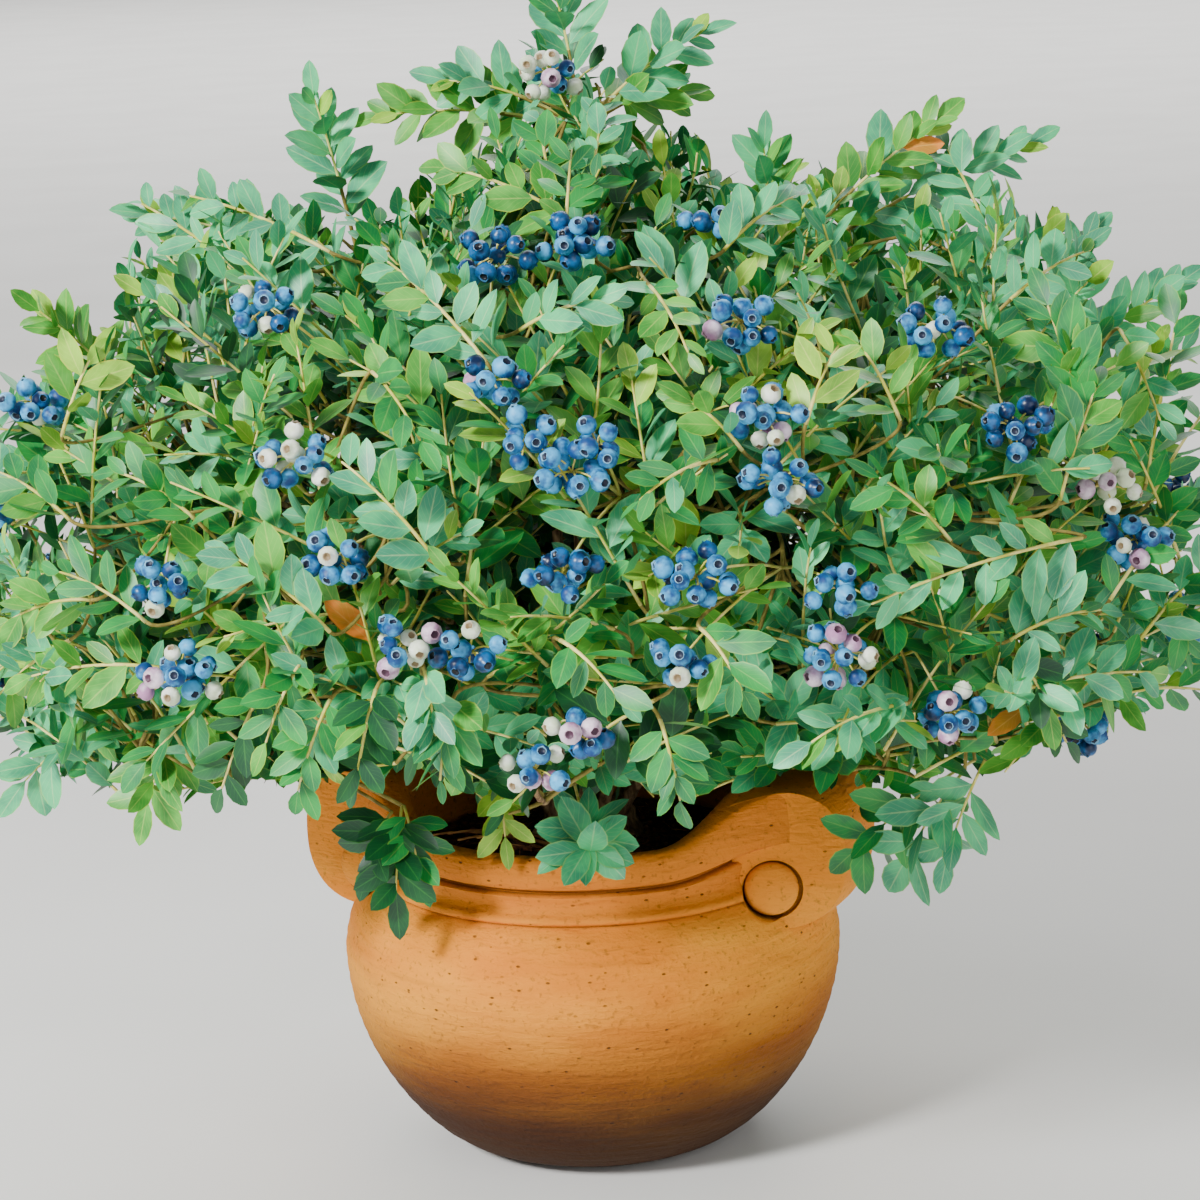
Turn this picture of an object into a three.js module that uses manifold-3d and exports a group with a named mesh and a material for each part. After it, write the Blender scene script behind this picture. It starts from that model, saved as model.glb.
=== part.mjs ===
// Blueberry bush in a round terracotta pot with two scrolled lug handles.
// Millimetres, +Z up, the middle of the pot's flat underside at (0, 0, 0), front towards -Y.
import * as THREE from 'three';
import { mergeVertices } from 'three/addons/utils/BufferGeometryUtils.js';
import Module from 'manifold-3d';

const wasm = await Module();
wasm.setup();

// ---------------------------------------------------------------- driving sizes
const GAP = 0.3;
const SHORT_EDGE = 0.02;
const SEED = 2026;

const FOOT_R = 84;
const BELLY_R = 165;
const BELLY_Z = 138;
const BELLY_LIFT = 0.8;
const NECK_R = 139;
const NECK_Z = 184;
const BEAD_R = 142;
const COVE_R = 135;
const GROOVE_R = 129.5;
const LIP_R = 135.5;
const LIP_Z = 226;
const FOOT_EDGE = 3;
const WALL = 14;
const NECK_INSIDE_R = 118;
const NECK_INSIDE_Z = 166;
const FLOOR_Z = 18;
const POT_SIDES = 32;

const EAR_TURN = THREE.MathUtils.degToRad(-18);
const EAR_OUT_R = 190;
const EAR_IN_R = 132;
const EAR_BOTTOM_Z = 163;
const EAR_TOP_Z = 255;
const EAR_ROLL_R = 44;
const EAR_FACE = 95;
const EAR_WEDGE = { near: 40, far: 230, bottom: 145, height: 140 };
const EAR_FACE_ANGLE = THREE.MathUtils.degToRad(72);
const EAR_RISE_FROM = THREE.MathUtils.degToRad(52);
const EAR_RISE_TO = THREE.MathUtils.degToRad(15);
const EYE_R = 17.5;
const EYE_ALONG = 116;
const EYE_Z = 191;
const EYE_GROOVE = 2.4;
const EYE_PROUD = 3.5;
const EYE_SEAT = 5;

const SOIL_Z = 198;
const SOIL_DOME = 6;
const SOIL_CLEAR = 0.75;

const CROWN_FOOT_R = 38;
const CROWN_NECK_R = 27;
const CROWN_H = 18;

const DOME_SLACK = 26;
const POT_CLEAR = 7;
const LEAF_CLEAR = 8;
const TWIG_CLEAR = 4;
const CELL_CLEAR = 1.2;
const DOME = { x: 410, y: 400, up: 272, upPower: 4, down: 150, downPower: 2.4, z: 385 };
const PEAK = { x: -5, up: 92, radius: 105 };
const SKIRT = { side: 236, front: 292 };
const LEAF_L = 71;
const LEAF_W = 0.5;
const LEAF_T = 0.05;
const LEAF_DROOP = 0.09;
const LEAF_PITCH = 21;
const LEAF_TRIES = 9;
const BERRY_R = 9;
const CANE_TIP_R = 2.6;
const STEM_R = 3.2;
const SHOOTS = 5;
const SHOOT_FOOT_R = 1.7;
const SHOOT_TIP_R = 1.3;
const SHOOT_LEAST = 40;
const SHOOT_MOST = 190;

// ---------------------------------------------------------------- materials
function finish(hex, roughness) {
  return new THREE.MeshStandardMaterial({ color: hex, roughness, metalness: 0 });
}

const TERRACOTTA = finish(0xd0913f, 0.85);
const TERRACOTTA_EAR = finish(0xcb8236, 0.85);
const SOIL = finish(0x2b1d14, 1.0);
const BARK = finish(0x8a6a42, 0.8);
const YOUNG_BARK = finish(0x9a7c48, 0.75);
const LEAVES = finish(0x4c8a5a, 0.6);

// ---------------------------------------------------------------- seeded rule
function seeded(seed) {
  let state = seed >>> 0;
  return () => {
    state = (state + 0x6d2b79f5) >>> 0;
    let t = state;
    t = Math.imul(t ^ (t >>> 15), t | 1);
    t ^= t + Math.imul(t ^ (t >>> 7), t | 61);
    return ((t ^ (t >>> 14)) >>> 0) / 4294967296;
  };
}

function vec(x, y, z) {
  return new THREE.Vector3(x, y, z);
}

function polar(degrees, radius, z) {
  const a = THREE.MathUtils.degToRad(degrees);
  return vec(radius * Math.cos(a), radius * Math.sin(a), z);
}

function smooth(t) {
  const c = Math.min(1, Math.max(0, t));
  return c * c * (3 - 2 * c);
}

// ---------------------------------------------------------------- solids
function solid(geometry) {
  const plain = geometry.index ? geometry.toNonIndexed() : geometry.clone();
  plain.deleteAttribute('normal');
  plain.deleteAttribute('uv');
  const merged = mergeVertices(plain, 1e-4);
  const corners = new Uint32Array(merged.index.array);
  const build = () => new wasm.Manifold(new wasm.Mesh({
    numProp: 3,
    vertProperties: new Float32Array(merged.attributes.position.array),
    triVerts: corners,
  }));
  const made = build();
  if (made.volume() > 0) {
    return made;
  }
  // the faces look inwards: turn each one over
  for (let i = 0; i < corners.length; i += 3) {
    const first = corners[i];
    corners[i] = corners[i + 1];
    corners[i + 1] = first;
  }
  return build();
}

function geometryOf(manifold) {
  const mesh = manifold.getMesh();
  const geometry = new THREE.BufferGeometry();
  const at = new Float32Array(mesh.vertProperties);
  geometry.setAttribute('position', new THREE.BufferAttribute(at, 3));
  geometry.setIndex(new THREE.BufferAttribute(new Uint32Array(mesh.triVerts), 1));
  geometry.computeVertexNormals();
  return geometry;
}

function filled(manifold) {
  // the outer skin only: sealed hollows are filled and loose scraps are dropped
  const bodies = manifold.simplify(SHORT_EDGE).decompose().filter((part) => part.volume() > 0);
  bodies.sort((a, b) => b.volume() - a.volume());
  return bodies[0];
}

function meshOf(name, manifold, material) {
  const mesh = new THREE.Mesh(geometryOf(filled(manifold)), material);
  mesh.name = name;
  return mesh;
}

function lathe(profile, sides) {
  const points = profile.map(([r, z]) => new THREE.Vector2(r, z));
  const geometry = new THREE.LatheGeometry(points, sides);
  geometry.rotateX(Math.PI / 2);
  return geometry;
}

function latheSolid(profile, sides) {
  return solid(lathe(profile, sides));
}

function moveVertices(geometry, place) {
  const at = geometry.attributes.position;
  const p = vec(0, 0, 0);
  for (let i = 0; i < at.count; i += 1) {
    p.fromBufferAttribute(at, i);
    place(p);
    at.setXYZ(i, p.x, p.y, p.z);
  }
  return geometry;
}

// ---------------------------------------------------------------- limbs
function limbGeometry(curve, foot, tip, sides, steps, flat) {
  const geometry = new THREE.CylinderGeometry(tip, foot, 1, sides, steps, false);
  const frames = curve.computeFrenetFrames(steps, false);
  const middles = frames.tangents.map((t, i) => curve.getPointAt(i / steps));
  moveVertices(geometry, (p) => {
    const step = Math.round((p.y + 0.5) * steps);
    const across = frames.normals[step].clone().multiplyScalar(p.x);
    const along = frames.binormals[step].clone().multiplyScalar(p.z);
    p.copy(middles[step]).add(across).add(along);
    if (flat && step === 0) {
      p.z = middles[0].z;
    }
  });
  return geometry;
}

function limbSolid(curve, foot, tip, sides, steps, flat = false) {
  return solid(limbGeometry(curve, foot, tip, sides, steps, flat));
}

function bentCurve(from, to, lift) {
  const middle = from.clone().lerp(to, 0.5).add(lift);
  return new THREE.QuadraticBezierCurve3(from, middle, to);
}

// ---------------------------------------------------------------- leaf and berry
function leafGeometry(root, along, normal, length) {
  // six faces: a root, a tip and three corners round the middle (left, right, ridge)
  const side = along.clone().cross(normal).normalize();
  const up = side.clone().cross(along).normalize();
  const geometry = new THREE.SphereGeometry(1, 3, 2);
  const half = length / 2;
  moveVertices(geometry, (p) => {
    const ridge = ((0.5 - p.x) / 1.5) * (1 - Math.abs(p.y));
    const droop = p.y > 0 ? LEAF_DROOP * length * p.y : 0;
    const wide = (p.z / Math.sin(Math.PI / 3)) * half * LEAF_W;
    const out = half + p.y * half;
    p.copy(root).addScaledVector(along, out);
    p.addScaledVector(side, wide);
    p.addScaledVector(up, ridge * length * LEAF_T - droop);
  });
  return geometry;
}

// share of the length, of the half width, of the length upwards
const LEAF_SAMPLES = [
  [1, 0, -0.09],
  [0.5, 1, 0],
  [0.5, -1, 0],
  [0.5, 0, LEAF_T],
  [0.75, 0.5, -0.05],
  [0.75, -0.5, -0.05],
  [0.25, 0.5, 0],
  [0.25, -0.5, 0],
];

function leafPoints(root, along, normal, length) {
  const side = along.clone().cross(normal).normalize();
  const up = side.clone().cross(along).normalize();
  const points = [];
  for (const [a, s, u] of LEAF_SAMPLES) {
    const p = root.clone().addScaledVector(along, a * length);
    p.addScaledVector(side, s * length * LEAF_W * 0.5);
    p.addScaledVector(up, u * length);
    points.push(p);
  }
  return points;
}

function berryGeometry(centre, radius) {
  const geometry = new THREE.IcosahedronGeometry(radius, 0);
  geometry.translate(centre.x, centre.y, centre.z);
  return geometry;
}

// ---------------------------------------------------------------- pot
function potOuterProfile() {
  const steps = 6;
  const points = [[0, 0], [FOOT_R - FOOT_EDGE, 0], [FOOT_R, FOOT_EDGE]];
  for (let i = 1; i <= steps; i += 1) {
    const t = i / steps;
    const a = (t * Math.PI) / 2;
    const r = FOOT_R + (BELLY_R - FOOT_R) * Math.sin(a);
    points.push([r, FOOT_EDGE + (BELLY_Z - FOOT_EDGE) * (1 - Math.cos(a)) ** BELLY_LIFT]);
  }
  points.push([BELLY_R - 2.5, BELLY_Z + 18]);
  points.push([BELLY_R - 10, BELLY_Z + 32]);
  points.push([NECK_R, NECK_Z]);
  return points;
}

function rimProfile() {
  return [
    [BEAD_R, NECK_Z + 3],
    [COVE_R + 2, NECK_Z + 8],
    [COVE_R, NECK_Z + 13],
    [COVE_R + 1.5, NECK_Z + 18],
    [GROOVE_R, NECK_Z + 19.5],
    [GROOVE_R, NECK_Z + 21.5],
    [LIP_R, LIP_Z - 7],
    [LIP_R - 5, LIP_Z],
    [LIP_R - 13, LIP_Z],
    [NECK_INSIDE_R, LIP_Z - 4],
  ];
}

function potProfile() {
  const outer = potOuterProfile();
  const inner = outer.slice(4).reverse().map(([r, z]) => [r - WALL, z]);
  const inside = inner.filter(([, z]) => z > FLOOR_Z + 12 && z < BELLY_Z + 4);
  return [
    ...outer,
    ...rimProfile(),
    [NECK_INSIDE_R, NECK_INSIDE_Z],
    ...inside,
    [FOOT_R - WALL + 6, FLOOR_Z],
    [0, FLOOR_Z],
  ];
}

function earShare(x, y) {
  const turned = Math.atan2(y, x) - EAR_TURN;
  const off = Math.abs(Math.asin(Math.sin(turned)));
  return smooth((EAR_RISE_FROM - off) / (EAR_RISE_FROM - EAR_RISE_TO));
}

function liftRim(p) {
  const share = earShare(p.x, p.y);
  const height = smooth((p.z - NECK_Z - 8) / (LIP_Z - NECK_Z - 12));
  p.z += share * height * (EAR_TOP_Z - LIP_Z);
}

function earSection(grow) {
  const middle = (EAR_BOTTOM_Z + EAR_TOP_Z) / 2;
  const halfHigh = (EAR_TOP_Z - EAR_BOTTOM_Z) / 2 + grow;
  const inner = EAR_IN_R - grow;
  const core = EAR_OUT_R - EAR_ROLL_R;
  const points = [[inner, middle - halfHigh]];
  const steps = 8;
  for (let i = 0; i <= steps; i += 1) {
    const a = -Math.PI / 2 + (Math.PI * i) / steps;
    const bulge = Math.sign(Math.sin(a)) * Math.abs(Math.sin(a)) ** 0.85;
    points.push([core + (EAR_ROLL_R + grow) * Math.cos(a) ** 0.75, middle + halfHigh * bulge]);
  }
  points.push([inner, middle + halfHigh]);
  points.push([inner, middle - halfHigh]);
  return points;
}

function earPlan(grow) {
  // a wedge between the two splayed end faces, seen from above
  const n = EAR_FACE + grow;
  const cos = Math.cos(EAR_FACE_ANGLE);
  const sin = Math.sin(EAR_FACE_ANGLE);
  const at = (u) => [n * cos + u * sin, n * sin - u * cos];
  const shape = new THREE.Shape();
  const far = at(EAR_WEDGE.far);
  const near = at(EAR_WEDGE.near);
  shape.moveTo(near[0], near[1]);
  shape.lineTo(near[0], -near[1]);
  shape.lineTo(far[0], -far[1]);
  shape.lineTo(far[0], far[1]);
  shape.closePath();
  const prism = new THREE.ExtrudeGeometry(shape, { depth: EAR_WEDGE.height, bevelEnabled: false });
  prism.translate(0, 0, EAR_WEDGE.bottom);
  return prism;
}

function earBlank(side, grow) {
  const ring = latheSolid(earSection(grow), 40);
  const turn = EAR_TURN + (side > 0 ? 0 : Math.PI);
  const wedge = solid(earPlan(grow).rotateZ(turn));
  return ring.intersect(wedge);
}

function eyePlug(side, end, radius, from, to, face = radius) {
  const geometry = new THREE.CylinderGeometry(face, radius, to - from, 16);
  geometry.rotateX(Math.PI / 2);
  geometry.translate(0, 0, (from + to) / 2);
  const cos = Math.cos(EAR_FACE_ANGLE);
  const sin = Math.sin(EAR_FACE_ANGLE);
  const normal = vec(cos, end * sin, 0);
  const across = vec(-end * sin, cos, 0);
  const basis = new THREE.Matrix4().makeBasis(across, vec(0, 0, 1), normal);
  if (basis.determinant() < 0) {
    basis.makeBasis(across.negate(), vec(0, 0, 1), normal);
  }
  const middle = vec(EAR_FACE * cos + EYE_ALONG * sin, end * (EAR_FACE * sin - EYE_ALONG * cos), EYE_Z);
  basis.setPosition(middle);
  geometry.applyMatrix4(basis);
  geometry.rotateZ(EAR_TURN + (side > 0 ? 0 : Math.PI));
  return geometry;
}

function eyeGeometry(side, end) {
  return solid(eyePlug(side, end, EYE_R, -EYE_SEAT + GAP, EYE_PROUD, EYE_R - 2.5));
}

function ear(side) {
  let made = earBlank(side, 0);
  for (const end of [-1, 1]) {
    made = made.subtract(solid(eyePlug(side, end, EYE_R + EYE_GROOVE, -EYE_SEAT, 12)));
  }
  return made;
}

function potBody() {
  let made = solid(moveVertices(lathe(potProfile(), POT_SIDES), liftRim));
  for (const side of [-1, 1]) {
    made = made.subtract(earBlank(side, GAP));
    for (const end of [-1, 1]) {
      made = made.subtract(solid(eyePlug(side, end, EYE_R + GAP * 2, -EYE_SEAT, 8)));
    }
  }
  return made;
}

// ---------------------------------------------------------------- soil and woody foot
function soilBody() {
  const wall = potProfile().slice(-8, -2).filter(([r, z]) => z > FLOOR_Z + 12 && r > NECK_INSIDE_R);
  const fill = wall.map(([r, z]) => [r - SOIL_CLEAR, z]).reverse();
  const profile = [
    [0, FLOOR_Z + GAP],
    [FOOT_R - WALL + 5, FLOOR_Z + GAP],
    ...fill,
    [NECK_INSIDE_R - SOIL_CLEAR, NECK_INSIDE_Z],
    [NECK_INSIDE_R - SOIL_CLEAR, SOIL_Z - 4],
    [86, SOIL_Z],
    [CROWN_FOOT_R + 12, SOIL_Z + SOIL_DOME],
    [0, SOIL_Z + SOIL_DOME],
  ];
  return latheSolid(profile, POT_SIDES);
}

function crownTop() {
  return SOIL_Z + SOIL_DOME + GAP + CROWN_H;
}

function rootCrown() {
  const z = SOIL_Z + SOIL_DOME + GAP;
  const profile = [
    [0, z],
    [CROWN_FOOT_R, z],
    [CROWN_NECK_R + 4, z + 7],
    [CROWN_NECK_R, z + CROWN_H],
    [0, z + CROWN_H],
  ];
  const wavy = (p) => {
    const a = Math.atan2(p.y, p.x);
    const share = 1 + 0.10 * Math.sin(3 * a + 0.6) + 0.05 * Math.sin(7 * a);
    p.x *= share;
    p.y *= share;
  };
  return solid(moveVertices(lathe(profile, 20), wavy));
}

// ---------------------------------------------------------------- layout of the crown
// Rings of foliage masses: each mass has one cane rising from the woody foot.
const RINGS = [
  { name: 'lower', count: 6, turn: -96, radius: 262, z: 322, foot: 26, bough: 4.4, lean: 0.26 },
  { name: 'middle', count: 6, turn: -66, radius: 268, z: 470, foot: 17, bough: 4.6, lean: 0.42 },
  { name: 'upper', count: 4, turn: -100, radius: 160, z: 572, foot: 8, bough: 4.0, lean: 0.5 },
];
const TOP = { x: -5, y: 0, z: 655, bough: 3.6, lean: 0.5 };

// tips of the leading shoots, which stand clear of the dome
const LEADERS = [
  vec(0, -10, 770),
  vec(90, 0, 727),
  vec(78, 20, 690),
  vec(-70, -10, 705),
  vec(-155, -10, 697),
  vec(-264, -20, 629),
  vec(-330, -60, 575),
  vec(127, -40, 657),
  vec(238, -10, 667),
  vec(300, 20, 648),
  vec(392, 0, 556),
  vec(-376, -90, 266),
  vec(-277, -150, 252),
  vec(222, -100, 206),
  vec(4, -196, 212),
  vec(-122, -140, 190),
  vec(410, 10, 300),
  vec(0, 390, 300),
  vec(-200, 330, 300),
  vec(220, 320, 560),
];

function massList() {
  const list = [];
  for (const ring of RINGS) {
    for (let i = 0; i < ring.count; i += 1) {
      const angle = ring.turn + (360 * i) / ring.count;
      list.push({
        name: `${ring.name}_${i}`,
        heart: polar(angle, ring.radius, ring.z),
        foot: polar(angle + 6, ring.foot, crownTop() + GAP),
        radius: ring.bough,
        lean: ring.lean,
      });
    }
  }
  list.push({
    name: 'top',
    heart: vec(TOP.x, TOP.y, TOP.z),
    foot: vec(0, 0, crownTop() + GAP),
    radius: TOP.bough,
    lean: TOP.lean,
  });
  return list;
}

function caneCurve(mass) {
  const end = mass.heart.clone();
  const flat = Math.hypot(end.x, end.y);
  const back = Math.min(70, 0.3 * flat + 30);
  const out = vec(end.x, end.y, 0).normalize();
  end.addScaledVector(out, -back * 0.8);
  end.z -= back * 0.45;
  const high = Math.max(end.z * 0.72 + mass.foot.z * 0.28, 306);
  const middle = vec(0, 0, high).addScaledVector(out, flat * mass.lean);
  return new THREE.QuadraticBezierCurve3(mass.foot, middle, end);
}

function caneRadiusAt(mass, t) {
  return mass.radius + (CANE_TIP_R - mass.radius) * t;
}

function caneSamples(masses) {
  const samples = [];
  for (const mass of masses) {
    for (let i = 0; i <= 40; i += 1) {
      const t = i / 40;
      samples.push({ at: mass.cane.getPointAt(t), r: caneRadiusAt(mass, t) });
    }
  }
  return samples;
}

// ---------------------------------------------------------------- the space of a mass
function inDome(p, grow) {
  // a flat-topped dome with a peak in the middle
  const above = p.z > DOME.z;
  const off = ((p.x - PEAK.x) ** 2 + p.y ** 2) / PEAK.radius ** 2;
  const tall = above ? DOME.up + PEAK.up * Math.exp(-off) : DOME.down;
  const wide = (p.x / (DOME.x + grow)) ** 2 + (p.y / (DOME.y + grow)) ** 2;
  return wide + (Math.abs(p.z - DOME.z) / (tall + grow)) ** (above ? DOME.upPower : DOME.downPower) < 1;
}

function aboveSkirt(p) {
  // the crown's hem hangs lower at the sides and the back than over the front of the rim
  const front = smooth((-p.y - 60) / 160) * smooth((270 - Math.abs(p.x)) / 110);
  return p.z > SKIRT.side + (SKIRT.front - SKIRT.side) * front;
}

function clearOfPot(p) {
  const flat = Math.hypot(p.x, p.y);
  if (p.z > EAR_TOP_Z + POT_CLEAR) {
    return true;
  }
  const ears = earShare(p.x, p.y) > 0.02;
  const body = p.z < NECK_Z ? BELLY_R : BEAD_R;
  return flat > (ears ? EAR_OUT_R : body) + POT_CLEAR;
}

function nearestMass(p, masses) {
  return masses.reduce((best, mass) => {
    return p.distanceTo(mass.heart) < p.distanceTo(best.heart) ? mass : best;
  });
}

function inCell(p, mass, masses) {
  // nearer to its own heart than to any other's, by CELL_CLEAR on each side of the border
  const own = p.distanceToSquared(mass.heart);
  return masses.every((other) => {
    const apart = other.heart.distanceTo(mass.heart);
    return other === mass || p.distanceToSquared(other.heart) - own > 2 * apart * CELL_CLEAR;
  });
}

function clearOfLimbs(p, samples, margin) {
  return samples.every((sample) => {
    return Math.abs(sample.at.z - p.z) > 24 || sample.at.distanceTo(p) > sample.r + margin;
  });
}

function allowed(points, mass, world, free, margin) {
  for (const p of points) {
    if (!clearOfPot(p) || !inCell(p, mass, world.masses)) {
      return false;
    }
    if (!free && (!inDome(p, DOME_SLACK) || !aboveSkirt(p))) {
      return false;
    }
    if (!clearOfLimbs(p, world.samples, margin)) {
      return false;
    }
  }
  return true;
}

// ---------------------------------------------------------------- twigs, leaves, berries
function leafNormal(root, along, side) {
  // the blade looks out of the crown and up
  const normal = vec(root.x, root.y, root.z - 0.7 * DOME.z).normalize();
  normal.z += 0.55;
  normal.addScaledVector(side, -0.35);
  normal.addScaledVector(along, -normal.dot(along));
  return normal.lengthSq() < 0.05 ? vec(along.y, -along.x, 0.3) : normal.normalize();
}

function leafAt(curve, t, turn, open, length) {
  const ahead = curve.getTangentAt(t);
  const side = ahead.clone().cross(vec(0.13, 0.21, 1)).normalize();
  side.applyAxisAngle(ahead, turn);
  const along = ahead.clone().multiplyScalar(Math.cos(open)).addScaledVector(side, Math.sin(open));
  along.z += 0.1;
  along.normalize();
  const root = curve.getPointAt(t).addScaledVector(along, -0.6);
  return { root, along, normal: leafNormal(root, along, side), length };
}

function boxesMeet(a, b) {
  return [0, 1, 2].every((k) => a.min[k] <= b.max[k] && b.min[k] <= a.max[k]);
}

function hits(body, parts, owner) {
  // true when the new body would cut a piece that it doesn't grow from
  const box = body.boundingBox();
  return parts.some((part) => {
    const near = part.owner !== owner && boxesMeet(box, part.box);
    return near && !body.intersect(part.body).isEmpty();
  });
}

function keep(parts, body, owner) {
  parts.push({ body, owner, box: body.boundingBox() });
}

function growLeaves(shoot, mass, world, random) {
  const { curve, span, free, owner } = shoot;
  const count = Math.max(2, Math.floor((curve.getLength() * (1 - span)) / LEAF_PITCH));
  const spin = random() * Math.PI;
  for (let i = 0; i <= count; i += 1) {
    const t = span + ((0.985 - span) * i) / count;
    const last = i === count;
    const open = last ? 0.12 : 0.7 + 0.3 * random();
    const length = LEAF_L * (0.82 + 0.3 * random()) * (last ? 0.9 : 1);
    for (let again = 0; again < LEAF_TRIES; again += 1) {
      const leaf = leafAt(curve, t, spin + i * Math.PI + again * 1.1, open + 0.1 * again, length);
      const points = leafPoints(leaf.root, leaf.along, leaf.normal, leaf.length);
      if (allowed(points, mass, world, free, LEAF_CLEAR)) {
        const body = solid(leafGeometry(leaf.root, leaf.along, leaf.normal, leaf.length));
        if (!hits(body, mass.parts, owner)) {
          keep(mass.parts, body, `leaf ${mass.parts.length}`);
          break;
        }
      }
    }
  }
}

function growShoot(from, to, mass, world, free, random) {
  const lift = vec((random() - 0.5) * 16, (random() - 0.5) * 16, free ? 14 : 12 + 10 * random());
  const curve = bentCurve(from, to, lift);
  const samples = [];
  for (let i = 3; i <= 12; i += 1) {
    samples.push(curve.getPointAt(i / 12));
  }
  if (allowed(samples, mass, world, free, TWIG_CLEAR)) {
    const steps = curve.getLength() > 80 ? 2 : 1;
    const owner = `shoot ${mass.shoots.length}`;
    keep(mass.parts, limbSolid(curve, SHOOT_FOOT_R, SHOOT_TIP_R, 3, steps), owner);
    mass.shoots.push({ curve, span: 0.3, free, owner });
  }
}

function growBerries(at, ahead, mass, world, random) {
  // the first berry swallows the tip of the stem, the others hang from the first
  const spin = random() * Math.PI;
  const side = ahead.clone().cross(vec(0.1, 0.2, 1)).normalize().applyAxisAngle(ahead, spin);
  const places = [at.clone()];
  places.push(at.clone().addScaledVector(side, 1.5 * BERRY_R).add(vec(0, 0, -3)));
  places.push(at.clone().addScaledVector(side, -0.8 * BERRY_R).add(vec(0, 0, -1.2 * BERRY_R)));
  for (const centre of places) {
    if (allowed([centre], mass, world, false, BERRY_R + 3)) {
      keep(mass.parts, solid(berryGeometry(centre, BERRY_R)), 'berries');
    }
  }
}

function spreadDirection(i, count, outward, random) {
  // even spiral over the sphere, kept to the outer side
  const z = 1 - (2 * (i + 0.5)) / count;
  const a = i * 2.39996 + random() * 0.5;
  const flat = Math.sqrt(1 - z * z);
  const d = vec(flat * Math.cos(a), flat * Math.sin(a), z);
  d.addScaledVector(outward, 0.75);
  return d.normalize();
}

function reachAlong(from, direction, mass, world) {
  let reach = 0;
  for (let r = 20; r <= SHOOT_MOST; r += 10) {
    const p = from.clone().addScaledVector(direction, r);
    if (!inDome(p, 0) || !aboveSkirt(p) || !clearOfPot(p) || !inCell(p, mass, world.masses)) {
      break;
    }
    reach = r;
  }
  return reach;
}

function massSolid(mass, world, shoots) {
  const random = seeded(SEED + world.masses.indexOf(mass) * 97);
  mass.parts = [];
  mass.shoots = [];
  const tip = mass.cane.getPointAt(1);
  const ahead = mass.cane.getTangentAt(1);
  const from = tip.clone().addScaledVector(ahead, GAP);
  const outward = mass.heart.clone().sub(vec(0, 0, DOME.z - 40)).normalize();
  const to = mass.heart.clone().addScaledVector(outward, 24);
  const stem = new THREE.QuadraticBezierCurve3(from, from.clone().addScaledVector(ahead, 34), to);
  keep(mass.parts, limbSolid(stem, STEM_R, STEM_R * 0.85, 4, 2), 'stem');
  for (const leader of LEADERS) {
    if (nearestMass(leader, world.masses) === mass) {
      const root = stem.getPointAt(0.6);
      const end = leader.clone().sub(root);
      end.setLength(end.length() - 0.75 * LEAF_L).add(root);
      growShoot(root, end, mass, world, true, random);
    }
  }
  for (let i = 0; i < shoots; i += 1) {
    const direction = spreadDirection(i, shoots, outward, random);
    const root = stem.getPointAt(0.2 + (0.6 * (i + 0.5)) / shoots);
    const reach = reachAlong(root, direction, mass, world);
    if (reach >= SHOOT_LEAST) {
      const end = root.clone().addScaledVector(direction, reach * (0.84 + 0.14 * random()));
      growShoot(root, end, mass, world, false, random);
    }
  }
  growBerries(stem.getPointAt(1), outward, mass, world, random);
  for (const shoot of mass.shoots) {
    growLeaves(shoot, mass, world, random);
  }
  return wasm.Manifold.union(mass.parts.map((part) => part.body));
}

// ---------------------------------------------------------------- assembly
const group = new THREE.Group();
group.name = 'blueberry_bush_in_pot';
group.add(meshOf('pot_body', potBody(), TERRACOTTA));
group.add(meshOf('handle_right', ear(1), TERRACOTTA_EAR));
group.add(meshOf('handle_left', ear(-1), TERRACOTTA_EAR));
for (const [side, word] of [[1, 'right'], [-1, 'left']]) {
  for (const [end, place] of [[-1, side > 0 ? 'front' : 'back'], [1, side > 0 ? 'back' : 'front']]) {
    group.add(meshOf(`scroll_eye_${word}_${place}`, eyeGeometry(side, end), TERRACOTTA_EAR));
  }
}
group.add(meshOf('potting_soil', soilBody(), SOIL));
group.add(meshOf('root_crown', rootCrown(), BARK));

const masses = massList();
for (const mass of masses) {
  mass.cane = caneCurve(mass);
}
const world = { masses, samples: caneSamples(masses) };
for (const mass of masses) {
  const cane = limbSolid(mass.cane, mass.radius, CANE_TIP_R, 5, 5, true);
  group.add(meshOf(`cane_${mass.name}`, cane, YOUNG_BARK));
}
for (const mass of masses) {
  group.add(meshOf(`foliage_${mass.name}`, massSolid(mass, world, SHOOTS), LEAVES));
}

export default group;
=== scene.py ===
"""A blueberry bush in a round terracotta pot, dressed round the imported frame."""

import enum
import logging
import math
from dataclasses import dataclass, field

import bpy
import numpy as np
from mathutils import Matrix, Vector


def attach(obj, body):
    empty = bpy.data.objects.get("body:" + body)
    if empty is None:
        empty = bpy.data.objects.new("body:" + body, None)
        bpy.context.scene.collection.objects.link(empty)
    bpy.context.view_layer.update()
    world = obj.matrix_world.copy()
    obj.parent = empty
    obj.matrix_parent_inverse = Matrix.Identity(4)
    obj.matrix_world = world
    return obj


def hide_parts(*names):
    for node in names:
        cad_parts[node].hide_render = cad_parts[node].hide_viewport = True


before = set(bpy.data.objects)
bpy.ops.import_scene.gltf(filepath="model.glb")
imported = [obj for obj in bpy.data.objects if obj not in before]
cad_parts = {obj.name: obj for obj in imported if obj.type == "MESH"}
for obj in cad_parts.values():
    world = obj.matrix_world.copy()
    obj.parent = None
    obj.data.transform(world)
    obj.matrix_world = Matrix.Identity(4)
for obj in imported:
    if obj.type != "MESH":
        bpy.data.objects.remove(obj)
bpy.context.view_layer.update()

LOG = logging.getLogger("blueberry_bush")
Array, Generator = np.ndarray, np.random.Generator
Object, Material = bpy.types.Object, bpy.types.Material
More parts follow.
